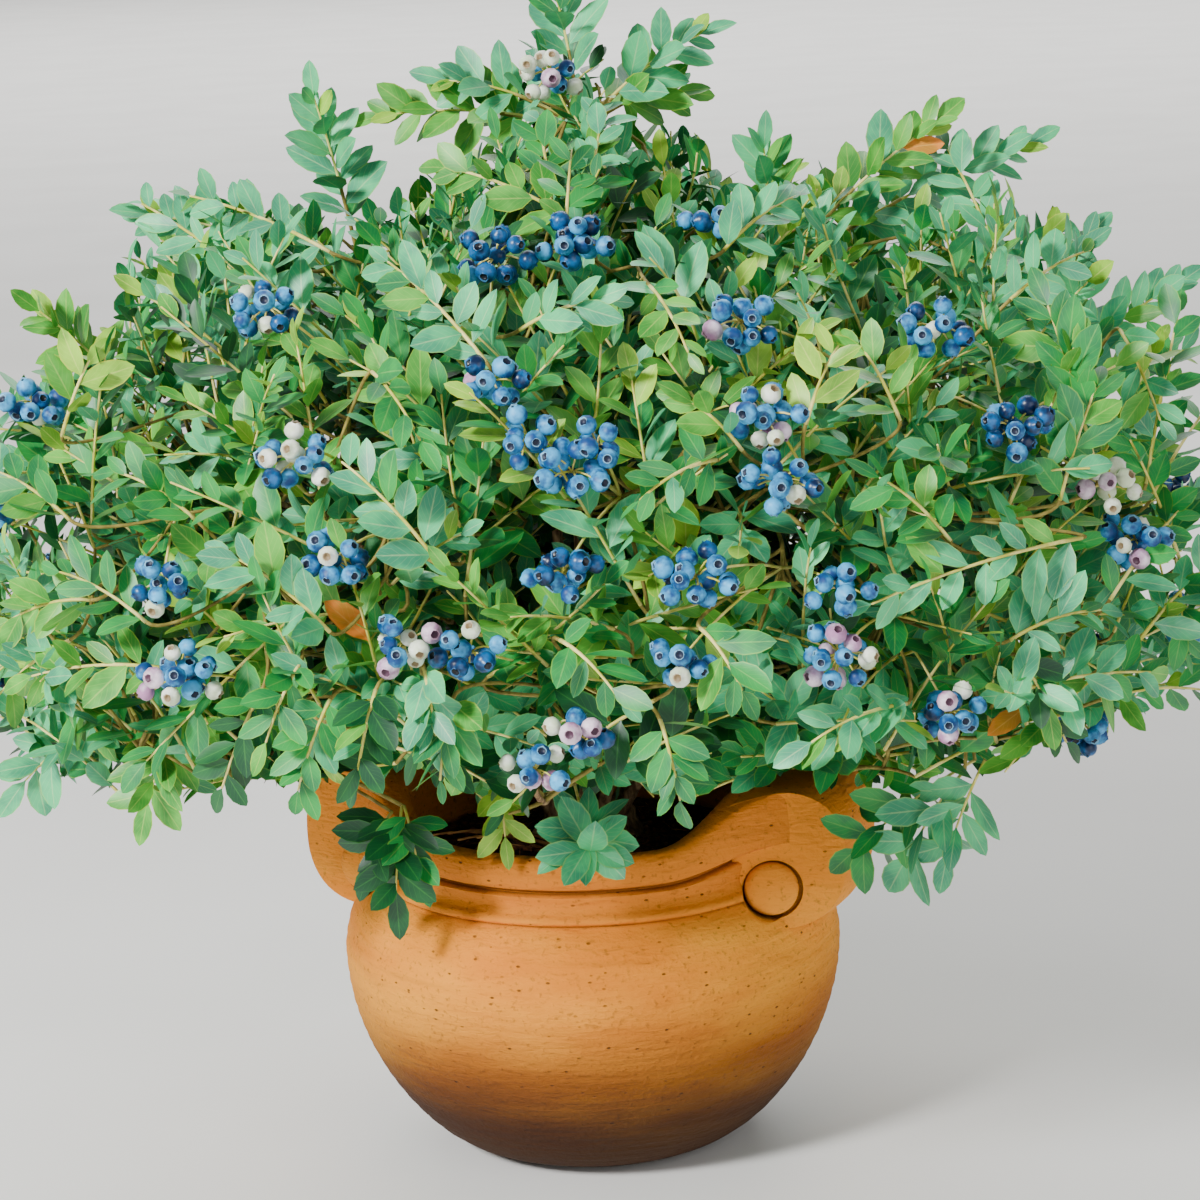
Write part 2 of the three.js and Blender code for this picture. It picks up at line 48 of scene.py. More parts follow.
Node, NodeSocket, NodeTree = bpy.types.Node, bpy.types.NodeSocket, bpy.types.NodeTree
BODY = "root"
# one millimetre in metres: sizes below are in millimetres unless they say otherwise
MM = 0.001
# the golden angle in radians, which spaces leaves, shoots and branches evenly round a stem
GOLDEN = 2.39996


# ---------- small tools
def linear(code: str) -> tuple[float, float, float, float]:
    """Turns an sRGB hex colour into a linear one.

    Args:
        code: the colour as "#RRGGBB".

    Returns:
        The linear red, green, blue and an alpha of one.
    """
    parts = [int(code[i : i + 2], 16) / 255 for i in (1, 3, 5)]
    made = [c / 12.92 if c <= 0.04045 else ((c + 0.055) / 1.055) ** 2.4 for c in parts]
    return (made[0], made[1], made[2], 1.0)


def unit(v: Array) -> Array:
    """Scales each vector to a length of one."""
    size = np.linalg.norm(v, axis=-1, keepdims=True)
    return v / np.maximum(size, 1e-9)


def smooth(t: Array | float) -> Array | float:
    """Eases a share from nought to one."""
    c = np.clip(t, 0.0, 1.0)
    return c * c * (3 - 2 * c)


def square_to(v: Array, axis: Array) -> Array:
    """What is left of a vector once its share along a unit axis is taken off."""
    return v - axis * float(np.dot(v, axis))


def vec(x: float, y: float, z: float) -> Array:
    """A point or a direction."""
    return np.array((x, y, z), dtype=float)


def spiral(i: int, count: int, turn: float = 0.0, fall: float = 2.0) -> Array:
    """One of the directions that an even spiral deals over a ball, from its top downwards.

    Args:
        i: which of them.
        count: how many they are.
        turn: turns the spiral about the upright, in radians.
        fall: how far down it runs; two takes in the whole ball.

    Returns:
        The direction.
    """
    z = 1 - fall * (i + 0.5) / count
    return polar(math.sqrt(max(0, 1 - z * z)), i * GOLDEN + turn, z)


def polar(r: float, a: float, z: float) -> Array:
    """A point by its radius, its angle round the upright and its height."""
    return vec(r * math.cos(a), r * math.sin(a), z)


def deselect() -> None:
    if bpy.context.object and bpy.context.object.mode != "OBJECT":
        bpy.ops.object.mode_set(mode="OBJECT")
    bpy.ops.object.select_all(action="DESELECT")


def only(obj: Object) -> None:
    """Makes one object the selected and active one.

    Args:
        obj: the object.
    """
    deselect()
    obj.select_set(True)
    bpy.context.view_layer.objects.active = obj


def edit(mode: str) -> None:
    """Enters edit mode on the active object with everything selected.

    Args:
        mode: what is selected from then on: "VERT", "EDGE" or "FACE".
    """
    bpy.ops.object.mode_set(mode="EDIT")
    bpy.ops.mesh.select_mode(type=mode)
    bpy.ops.mesh.select_all(action="SELECT")


def disc(radius: float, sides: int, mode: str, z: float = 0.0) -> Object:
    """Starts a piece from a flat disc round the upright and opens it for editing.

    Args:
        radius: its radius.
        sides: how many corners it has.
        mode: what is selected from then on.
        z: its height.

    Returns:
        The disc, in edit mode.
    """
    deselect()
    bpy.ops.mesh.primitive_circle_add(
        vertices=sides, radius=radius * MM, fill_type="NGON", location=(0, 0, z * MM)
    )
    only(bpy.context.object)
    edit(mode)
    return bpy.context.object


def close_up() -> None:
    """Turns all faces of the mesh in edit mode outwards and leaves edit mode."""
    bpy.ops.mesh.select_all(action="SELECT")
    bpy.ops.mesh.normals_make_consistent(inside=False)
    bpy.ops.object.mode_set(mode="OBJECT")


def draw_up(steps: list[tuple[float, float]], ring: bool) -> None:
    """Draws the selection up through steps of radius and height, as on a wheel.

    Args:
        steps: the radius and height of each step; the first is where the selection lies.
        ring: True for an open ring of edges, False for a cap of faces.
    """
    extrude = bpy.ops.mesh.extrude_edges_move if ring else bpy.ops.mesh.extrude_region_move
    for (at_r, at_z), (r, z) in zip(steps, steps[1:]):
        extrude(TRANSFORM_OT_translate={"value": (0, 0, (z - at_z) * MM)})
        bpy.ops.transform.resize(value=(r / at_r, r / at_r, 1), center_override=(0, 0, 0))


def settle(obj: Object, name: str) -> Object:
    """Puts an object's place into its mesh and names it.

    Args:
        obj: the object to settle.
        name: the name of the piece and of its mesh.

    Returns:
        The same object, at the origin, unturned and unscaled.
    """
    only(obj)
    bpy.ops.object.transform_apply(location=True, rotation=True, scale=True)
    obj.name = name
    obj.data.name = name
    return obj


def modified(obj: Object, kind: str, **settings: object) -> None:
    """Adds one modifier and applies it.

    Args:
        obj: the object to change.
        kind: the modifier's type.
        settings: the modifier's own settings.
    """
    only(obj)
    made = obj.modifiers.new(kind.lower(), kind)
    for key, value in settings.items():
        setattr(made, key, value)
    bpy.ops.object.modifier_apply(modifier=made.name)


def corners(obj: Object) -> Array:
    """Reads the corners of a mesh.

    Args:
        obj: the mesh's object.

    Returns:
        The corners in millimetres.
    """
    flat = np.empty(len(obj.data.vertices) * 3)
    obj.data.vertices.foreach_get("co", flat)
    return flat.reshape(-1, 3) / MM


def move_corners(obj: Object, points: Array) -> None:
    """Writes the mesh's corners back from millimetres."""
    obj.data.vertices.foreach_set("co", (points * MM).ravel())
    obj.data.update()


def mesh_object(name: str, points: Array, faces: list) -> Object:
    """Makes one joined mesh from arrays.

    Args:
        name: the name of the piece.
        points: the corners in millimetres.
        faces: the corner numbers of each face.

    Returns:
        The new object, smooth shaded.
    """
    mesh = bpy.data.meshes.new(name)
    mesh.from_pydata((points * MM).tolist(), [], faces)
    mesh.shade_smooth()
    obj = bpy.data.objects.new(name, mesh)
    bpy.context.collection.objects.link(obj)
    return obj


def joined_copies(name: str, block: Array, faces: list, layer: str, places: list) -> Object:
    """Joins turned and scaled copies of one form into a piece.

    Args:
        name: the name of the piece.
        block: the corners of every copy, a row for each copy.
        faces: the faces of one copy.
        layer: the name of the map that the finish reads.
        places: where each corner of each of those faces lies on the map.

    Returns:
        The joined piece.
    """
    count, per = block.shape[:2]
    everything = [[start + c for c in face] for start in range(0, count * per, per) for face in faces]
    piece = mesh_object(name, block.reshape(-1, 3), everything)
    uv = piece.data.uv_layers.new(name=layer)
    uv.data.foreach_set("uv", np.tile(np.array(places), (count, 1)).ravel())
    return piece


def smooth_by_angle(obj: Object, degrees: float) -> None:
    """Shades an object smooth, apart from edges sharper than an angle."""
    only(obj)
    bpy.ops.object.shade_smooth_by_angle(angle=math.radians(degrees))


def dress(obj: Object, finish: Material, slot: str, *nodes: str) -> Object:
    """Gives a piece its finish, its body and the CAD nodes that it stands for.

    Args:
        obj: the piece.
        finish: its material.
        slot: the record's material slot; not used.
        nodes: the CAD nodes that it replaces.

    Returns:
        The same object.
    """
    obj.data.materials.clear()
    obj.data.materials.append(finish)
    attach(obj, BODY)
    if nodes:
        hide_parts(*nodes)
    LOG.info("%s: %d faces", obj.name, len(obj.data.polygons))
    return obj


# ---------- finishes
def node(tree: NodeTree, kind: str, settings: dict, **links: object) -> Node:
    """Adds one node with its settings and links.

    Args:
        tree: the material's node tree.
        kind: the node's type.
        settings: property and input values; an input's name or number has a leading "@".
        links: for each input, by name with "_" for a space or by number, the output socket
            that feeds it or the hex colour that it is set to.

    Returns:
        The new node.
    """
    made = tree.nodes.new(kind)
    for key, value in settings.items():
        if key.startswith("@"):
            name = key[1:]
            made.inputs[int(name) if name.isdigit() else name].default_value = value
        else:
            setattr(made, key, value)
    for key, source in links.items():
        name = key.replace("_", " ")
        socket = made.inputs[int(name) if name.isdigit() else name]
        if isinstance(source, str):
            socket.default_value = linear(source)
        else:
            tree.links.new(source, socket)
    return made


def blank_material(name: str) -> tuple[Material, Node, NodeSocket]:
    """Starts a material.

    Args:
        name: the material's name.

    Returns:
        The material, its Principled node and the Object coordinates.
    """
    material = bpy.data.materials.new(name)
    material.use_nodes = True
    tree = material.node_tree
    shader = tree.nodes["Principled BSDF"]
    place = node(tree, "ShaderNodeTexCoord", {})
    return material, shader, place.outputs["Object"]


def coat(
    shader: Node, colour: NodeSocket, roughness: float, specular: float = 0.5
) -> None:
    """Feeds a shader its colour and sets how it shines.

    Args:
        shader: the Principled node.
        colour: the colour's socket.
        roughness: from mirror to chalk, nought to one.
        specular: the specular level, a half for the usual.
    """
    shader.id_data.links.new(colour, shader.inputs["Base Color"])
    shader.inputs["Roughness"].default_value = roughness
    shader.inputs["Specular IOR Level"].default_value = specular


def eased(low: float, high: float, share: float = 1.0) -> dict:
    """Settings that map a value eased from nought at the low limit to a share at the high one."""
    return {"@From Min": low, "@From Max": high, "@To Max": share, "interpolation_type": "SMOOTHSTEP"}


def lay(
    tree: NodeTree, under: object, over: object, value: NodeSocket, low: float, high: float, share: float = 1.0
) -> NodeSocket:
    """Lays one colour over another where a pattern's value nears a limit.

    Args:
        tree: the material's node tree.
        under: a hex colour or a colour socket.
        over: a hex colour or a colour socket.
        value: the pattern's socket.
        low: the value at which nothing of the upper colour shows.
        high: the value at which its whole share shows.
        share: that share.

    Returns:
        The mixed colour's socket.
    """
    amount = node(tree, "ShaderNodeMapRange", eased(low, high, share), Value=value).outputs[0]
    colours = {"0": amount, "6": under, "7": over}
    return node(tree, "ShaderNodeMix", {"data_type": "RGBA"}, **colours).outputs[2]


@dataclass(frozen=True)
class Terracotta:
    """Earthenware, hand-thrown and unglazed, fired ochre and weathered: chalky, with no sheen.

    The sizes are those of its marks: clouds of flashing from the kiln, throwing rings, shorter
    scratches, pits where grit fell out, and sand flecks, drawn coarser than sand so that they show.
    """

    name: str = "terracotta_hand_thrown"
    pale: str = "#F2A028"
    body: str = "#E08018"
    rim: str = "#D2761C"
    # the colour towards the foot, partly soil stain and partly painted shade; also the colour of the rings and
    # scratches
    foot: str = "#261004"
    # the dark of the sand flecks and pits, and also the colour of the painted shade in nooks and creases
    grime_and_shade: str = "#3A1F0C"
    cloud_mm: tuple[float, float] = (200.0, 62.5)
    ring_mm: tuple[float, float] = (1000 / 7, 9.0)
    scratch_mm: tuple[float, float] = (1000 / 70, 3.0)
    pit_mm: tuple[float, float] = (9.0, 9.0 / 1.9)
    fleck_mm: float = 1000 / 290
    # how far the painted shade in nooks and creases reaches
    nook_shade_mm: float = 11.0
    relief_mm: float = 1.9

    def material(self) -> Material:
        """Gives the eye a pale belly, a redder rim, a foot darkened partly by soil stain and partly by painted
        shade, rings, pits, and painted shade in the nooks.

        Returns:
            The material.
        """
        material, shader, at = blank_material(self.name)
        tree = material.node_tree
        bands = []
        for wide, tall in (self.cloud_mm, self.ring_mm, self.scratch_mm, self.pit_mm):
            scale = (1000 / wide, 1000 / wide, 1000 / tall)
            bands.append(node(tree, "ShaderNodeMapping", {"@Scale": scale}, Vector=at).outputs[0])
        soft = {"@Scale": 1.0, "@Detail": 7.0}
        drawn = {"@Scale": 1.0, "@Detail": 3.0, "@Distortion": 0.5}
        cloud, rings, scratches = (
            node(tree, "ShaderNodeTexNoise", settings, Vector=band).outputs[0]
            for settings, band in zip((soft, drawn, drawn), bands)
        )
        pits = node(tree, "ShaderNodeTexVoronoi", {"@Scale": 1.0}, Vector=bands[3])
        some = node(tree, "ShaderNodeSeparateColor", {}, Color=pits.outputs["Color"]).outputs[0]
        settings = {"@Scale": 1000 / self.fleck_mm, "@Detail": 5.0}
        flecks = node(tree, "ShaderNodeTexNoise", settings, Vector=at).outputs[0]
        height = node(tree, "ShaderNodeSeparateXYZ", {}, Vector=at).outputs["Z"]
        # the height, broken up by the clouds, that sets how far the foot's stain and painted shade reach
        settings = {"operation": "MULTIPLY_ADD", "@1": 0.075}
        stain_and_shade_height = node(tree, "ShaderNodeMath", settings, **{"0": cloud, "2": height}).outputs[0]
        settings = {"samples": 6, "@Distance": self.nook_shade_mm * MM}
        nook_shade = node(tree, "ShaderNodeAmbientOcclusion", settings).outputs["AO"]
        near = node(tree, "ShaderNodeMapRange", eased(0.18, 0.07), Value=pits.outputs["Distance"])
        chosen = node(tree, "ShaderNodeMapRange", eased(0.50, 0.95, 0.85), Value=some)
        both = {"0": near.outputs[0], "1": chosen.outputs[0]}
        dent = node(tree, "ShaderNodeMath", {"operation": "MULTIPLY"}, **both).outputs[0]
        colour = lay(tree, self.body, self.pale, cloud, 0.34, 0.64)
        colour = lay(tree, colour, self.rim, height, 0.180, 0.200, 0.84)
        # darker towards the bottom: partly soil staining, partly painted shade where the lower belly gets less
        # light
        colour = lay(tree, colour, self.foot, stain_and_shade_height, 0.217, 0.067, 0.97)
        colour = lay(tree, colour, self.foot, rings, 0.56, 0.76, 0.12)
        colour = lay(tree, colour, self.foot, scratches, 0.60, 0.78, 0.26)
        colour = lay(tree, colour, self.grime_and_shade, flecks, 0.56, 0.76, 0.42)
        pitted = {"0": dent, "6": colour, "7": self.grime_and_shade}
        colour = node(tree, "ShaderNodeMix", {"data_type": "RGBA"}, **pitted).outputs[2]
        # painted shade: the nooks and creases that ambient occlusion finds are darkened towards the dark fleck
        # colour
        colour = lay(tree, colour, self.grime_and_shade, nook_shade, 0.62, 0.20, 0.66)
        coat(shader, colour, 0.86, 0.28)
        relief = scratches
        for mark, depth in ((flecks, 0.7), (dent, -1.6)):
            settings = {"operation": "MULTIPLY_ADD", "@1": depth}
            relief = node(tree, "ShaderNodeMath", settings, **{"0": mark, "2": relief}).outputs[0]
        settings = {"@Strength": 0.75, "@Distance": self.relief_mm * MM}
        bump = node(tree, "ShaderNodeBump", settings, Height=relief)
        tree.links.new(bump.outputs[0], shader.inputs["Normal"])
        return material


@dataclass(frozen=True)
class Grainy:
    """A rough natural surface of two tones: bark, mulch, straw or moist mix."""

    name: str
    dark: str
    light: str
    grain_mm: float
    roughness: float = 0.85
    relief_mm: float = 0.6
    stretch: float = 1.0

    def material(self) -> Material:
        """Gives the eye two tones that break up at the grain's own size, and the same grain as relief.

        Returns:
            The material.
        """
        material, shader, at = blank_material(self.name)
        tree = material.node_tree
        scaled = node(tree, "ShaderNodeMapping", {"@Scale": (1.0, 1.0, self.stretch)}, Vector=at)
        # a noise pattern shows two grains to each of its cells
        settings = {"@Scale": 1000 / self.grain_mm / 2, "@Detail": 5.0, "@Roughness": 0.6}
        grain = node(tree, "ShaderNodeTexNoise", settings, Vector=scaled.outputs[0]).outputs[0]
        coat(shader, lay(tree, self.dark, self.light, grain, 0.36, 0.68), self.roughness, 0.3)
        settings = {"@Strength": 0.6, "@Distance": self.relief_mm * MM}
        bump = node(tree, "ShaderNodeBump", settings, Height=grain)
        tree.links.new(bump.outputs[0], shader.inputs["Normal"])
        return material


@dataclass(frozen=True)
class LeafBlade:
    """A blueberry leaf's upper skin: waxy, between matt and satin."""

    name: str
    skin: str
    rib: str
    margin: str
    roughness: float = 0.44
    tone_mm: float = 1000 / 45

    def material(self) -> Material:
        """Gives the eye one plain colour to a spray, with a paler midrib, side veins and margin.

        The last three follow the blade's own map: across from -1 to 1, and along from 0 to 1.

        Returns:
            The material.
        """
        material, shader, at = blank_material(self.name)
        tree = material.node_tree
        blade = node(tree, "ShaderNodeUVMap", {"uv_map": "blade"})
        parts = node(tree, "ShaderNodeSeparateXYZ", {}, Vector=blade.outputs[0])
        across, along = parts.outputs["X"], parts.outputs["Y"]
        off = node(tree, "ShaderNodeMath", {"operation": "ABSOLUTE"}, **{"0": across}).outputs[0]
        settings = {"@Scale": 1000 / self.tone_mm, "@Detail": 3.0}
        tone = node(tree, "ShaderNodeTexNoise", settings, Vector=at).outputs[0]
        deep, light = (
            node(tree, "ShaderNodeHueSaturation", {"@Hue": hue, "@Value": value}, Color=self.skin)
            for hue, value in ((0.512, 0.68), (0.487, 1.35))
        )
        colour = lay(tree, deep.outputs["Color"], light.outputs["Color"], tone, 0.34, 0.66)
        settings = {"operation": "MULTIPLY_ADD", "@1": -0.35}
        slant = node(tree, "ShaderNodeMath", settings, **{"0": off, "2": along}).outputs[0]
        settings = {"operation": "PINGPONG", "@1": 0.07}
        vein = node(tree, "ShaderNodeMath", settings, **{"0": slant}).outputs[0]
        colour = lay(tree, colour, self.rib, vein, 0.014, 0.0, 0.17)
        colour = lay(tree, colour, self.rib, off, 0.09, 0.01, 0.42)
        colour = lay(tree, colour, self.margin, off, 0.86, 1.0, 0.52)
        coat(shader, colour, self.roughness, 0.45)
        return material


@dataclass(frozen=True)
class BerrySkin:
    """A blueberry's skin under its wax bloom."""

    name: str
    skin: str
    bloom: str
    eye: str
    sepals: str
    roughness: float = 0.5
    wax_mm: float = 1000 / 90

    def material(self) -> Material:
        """Gives the eye a deep colour under patchy pale wax, and pale sepals round a dark eye.

        Returns:
            The material.
        """
        material, shader, at = blank_material(self.name)
        tree = material.node_tree
        settings = {"@Scale": 1000 / self.wax_mm, "@Detail": 3.0, "@Roughness": 0.6}
        wax = node(tree, "ShaderNodeTexNoise", settings, Vector=at).outputs[0]
        colour = lay(tree, self.skin, self.bloom, wax, 0.36, 0.66)
        skin = node(tree, "ShaderNodeUVMap", {"uv_map": "skin"})
        inwards = node(tree, "ShaderNodeSeparateXYZ", {}, Vector=skin.outputs[0]).outputs["Y"]
        colour = lay(tree, colour, self.sepals, inwards, 0.62, 0.72, 0.8)
        colour = lay(tree, colour, self.eye, inwards, 0.80, 0.90)
        coat(shader, colour, self.roughness, 0.4)
        return material


@dataclass(frozen=True)
class StudioPaper:
    """The pale seamless paper under the pot."""

    name: str = "studio_paper"
    pale: str = "#E9E8E4"
    dull: str = "#E4E3DF"
    cloud_mm: float = 1000 / 3

    def material(self) -> Material:
        """Gives the eye a matt, even ground, with clouds too faint to draw it.

        Returns:
            The material.
        """
        material, shader, at = blank_material(self.name)
        tree = material.node_tree
        cloud = node(tree, "ShaderNodeTexNoise", {"@Scale": 1000 / self.cloud_mm}, Vector=at)
        coat(shader, lay(tree, self.pale, self.dull, cloud.outputs[0], 0.3, 0.7), 0.95)
        return material


# ---------- pot
@dataclass
class Ears:
    """The two scrolled lugs that the upper rim band sweeps up into."""

    turn: float = math.radians(-18)
    out_r: float = 190.0
    in_r: float = 132.0
    bottom_z: float = 163.0
    top_z: float = 255.0
    lip_z: float = 226.0
    roll_r: float = 44.0
    face: float = 95.5
    face_angle: float = math.radians(72)
    rise_from: float = math.radians(52)
    rise_to: float = math.radians(15)
    eye_r: float = 17.5
    eye_along: float = 116.0
    eye_z: float = 191.0
    eye_groove: float = 2.0
    eye_aside: float = 0.9
    eye_seat: float = 5.0
    eye_proud: float = 7.0
    edge: float = 7.0
    # the eye's domed face: share of its radius, share of its rise
    eye_dome: tuple = (
        (1.0, 0.0), (1.0, 0.46), (0.99, 0.58), (0.95, 0.70), (0.87, 0.81), (0.74, 0.90),
        (0.54, 0.97), (0.25, 1.01),
    )

    def share(self, points: Array) -> Array:
        """How far round towards an ear's middle each point lies, from nought to one."""
        turned = np.arctan2(points[:, 1], points[:, 0]) - self.turn
        off = np.abs(np.arcsin(np.clip(np.sin(turned), -1, 1)))
        return smooth((self.rise_from - off) / (self.rise_from - self.rise_to))

    def section(self) -> Array:
        """The rounded section of the roll, as radius and height."""
        middle = (self.bottom_z + self.top_z) / 2
        half = (self.top_z - self.bottom_z) / 2
        core = self.out_r - self.roll_r
        a = np.linspace(-math.pi / 2, math.pi / 2, 25)
        bulge = np.sign(np.sin(a)) * np.abs(np.sin(a)) ** 0.85
        bow = core + self.roll_r * np.maximum(np.cos(a), 0) ** 0.75
        outer = np.stack([bow, middle + half * bulge], axis=1)
        return np.vstack([[[self.in_r, self.bottom_z]], outer, [[self.in_r, self.top_z]]])

    def roof(self, r: Array) -> Array:
        """The height of the roll's upper skin at each radius."""
        middle = (self.bottom_z + self.top_z) / 2
        half = (self.top_z - self.bottom_z) / 2
        cos = np.clip((r - self.out_r + self.roll_r) / self.roll_r, 0, 1) ** (1 / 0.75)
        return middle + half * np.sqrt(1 - cos**2) ** 0.85

    def face_frame(self, side: int, end: int) -> Matrix:
        """The place and turn of one scroll eye on its end face.

        Args:
            side: 1 for the right ear and -1 for the left.
            end: 1 or -1 for the ear's two end faces.

        Returns:
            The matrix, in metres, with Z out of the face.
        """
        cos, sin = math.cos(self.face_angle), math.sin(self.face_angle)
        normal = Vector((cos, end * sin, 0))
        across = Vector((0, 0, 1)).cross(normal)
        at = Vector((
            self.face * cos + self.eye_along * sin,
            end * (self.face * sin - self.eye_along * cos),
            self.eye_z,
        ))
        made = Matrix((across, Vector((0, 0, 1)), normal)).transposed().to_4x4()
        made.translation = at * MM
        return Matrix.Rotation(self.turn + (0 if side > 0 else math.pi), 4, "Z") @ made

    def plug(self, side: int, end: int, radius: float, low: float, high: float) -> Object:
        """A round plug square to an end face.

        Args:
            side: which ear.
            end: which end face.
            radius: the plug's radius.
            low: where it starts, from the face outwards.
            high: where it ends.

        Returns:
            The plug.
        """
        deselect()
        bpy.ops.mesh.primitive_cylinder_add(vertices=64, radius=radius * MM, depth=(high - low) * MM)
        made = bpy.context.object
        place = self.face_frame(side, end)
        made.matrix_world = place @ Matrix.Translation((0, 0, (high + low) / 2 * MM))
        return settle(made, "plug")

    def build_ear(self, side: int, name: str) -> Object:
        """Turns one ear: a rolled section spun about the pot's axis and cut by its two end faces.

        Args:
            side: 1 for the right ear and -1 for the left.
            name: the name of the piece.

        Returns:
            The ear, with a round groove sunk for each eye.
        """
        deselect()
        section = self.section()
        bpy.ops.mesh.primitive_circle_add(vertices=len(section), radius=0.05, fill_type="NGON")
        ear = bpy.context.object
        middle = self.turn + (0 if side > 0 else math.pi)
        sweep = math.radians(124)
        start = middle - sweep / 2
        placed = np.stack(
            [section[:, 0] * math.cos(start), section[:, 0] * math.sin(start), section[:, 1]], axis=1
        )
        move_corners(ear, placed)
        only(ear)
        edit("FACE")
        bpy.ops.mesh.spin(steps=60, angle=-sweep, center=(0, 0, 0), axis=(0, 0, 1))
        for end in (-1, 1):
            place = self.face_frame(side, end)
            normal = place.to_3x3() @ Vector((0, 0, 1))
            bpy.ops.mesh.select_all(action="SELECT")
            bpy.ops.mesh.bisect(
                plane_co=place.translation, plane_no=normal, use_fill=True, clear_outer=True
            )
        bpy.ops.mesh.select_all(action="SELECT")
        bpy.ops.mesh.remove_doubles(threshold=1e-5)
        close_up()
        settle(ear, name)
        self.meet_lip(ear)
        self.round_ends(ear, side)
        for end in (-1, 1):
            self.sink_groove(ear, side, end)
        sharp = {"limit_method": "ANGLE", "angle_limit": math.radians(50)}
        modified(ear, "BEVEL", width=0.7 * MM, segments=2, **sharp)
        smooth_by_angle(ear, 38)
        return ear

    def meet_lip(self, ear: Object) -> None:
        """Lowers the top of an ear's two ends to where the rising lip meets them."""
        p = corners(ear)
        lip = self.lip_z + self.share(p) * (self.top_z - self.lip_z) + 0.3
        p[:, 2] = np.minimum(p[:, 2], lip)
        move_corners(ear, p)

    def sink_groove(self, piece: Object, side: int, end: int) -> None:
        """Cuts the round groove of one scroll eye into an ear or into the pot's mouldings.

        Args:
            piece: what is cut.
            side: which ear.
            end: which end face.
        """
        cutter = self.plug(side, end, self.eye_r + self.eye_groove, -self.eye_seat, 20)
        aside = self.face_frame(side, end).to_3x3() @ Vector((self.eye_aside, -self.eye_aside, 0))
        move_corners(cutter, corners(cutter) + np.array(aside))
        modified(piece, "BOOLEAN", object=cutter, operation="DIFFERENCE", solver="EXACT")
        bpy.data.objects.remove(cutter)

    def round_ends(self, ear: Object, side: int) -> None:
        """Rounds the arris round each end face.

        Args:
            ear: the ear.
            side: which ear it is.
        """
        only(ear)
        edit("EDGE")
        bpy.ops.mesh.select_all(action="DESELECT")
        bpy.ops.object.mode_set(mode="OBJECT")
        flags = np.zeros(len(ear.data.edges), dtype=bool)
        points = corners(ear)
        pairs = np.array([tuple(e.vertices) for e in ear.data.edges])
        for end in (-1, 1):
            place = self.face_frame(side, end)
            normal = np.array(place.to_3x3() @ Vector((0, 0, 1)))
            level = float(np.dot(normal, np.array(place.translation) / MM))
            on = np.abs(points @ normal - level) < 0.05
            flags |= on[pairs].all(axis=1)
        ear.data.edges.foreach_set("select", flags)
        bpy.ops.object.mode_set(mode="EDIT")
        bpy.ops.mesh.bevel(offset=self.edge * MM, segments=5, profile=0.55, clamp_overlap=True)
        bpy.ops.object.mode_set(mode="OBJECT")

    def build_eye(self, side: int, end: int, name: str) -> Object:
        """Shapes one scroll eye: a low domed button in its groove.

        Args:
            side: which ear.
            end: which end face.
            name: the name of the piece.

        Returns:
            The eye.
        """
        eye = disc(self.eye_r, 48, "FACE")
        rise = self.eye_proud + self.eye_seat
        draw_up([(share, height * rise) for share, height in self.eye_dome], ring=False)
        close_up()
        eye.matrix_world = self.face_frame(side, end) @ Matrix.Translation((0, 0, -self.eye_seat * MM))
        settle(eye, name)
        smooth_by_angle(eye, 60)
        return eye


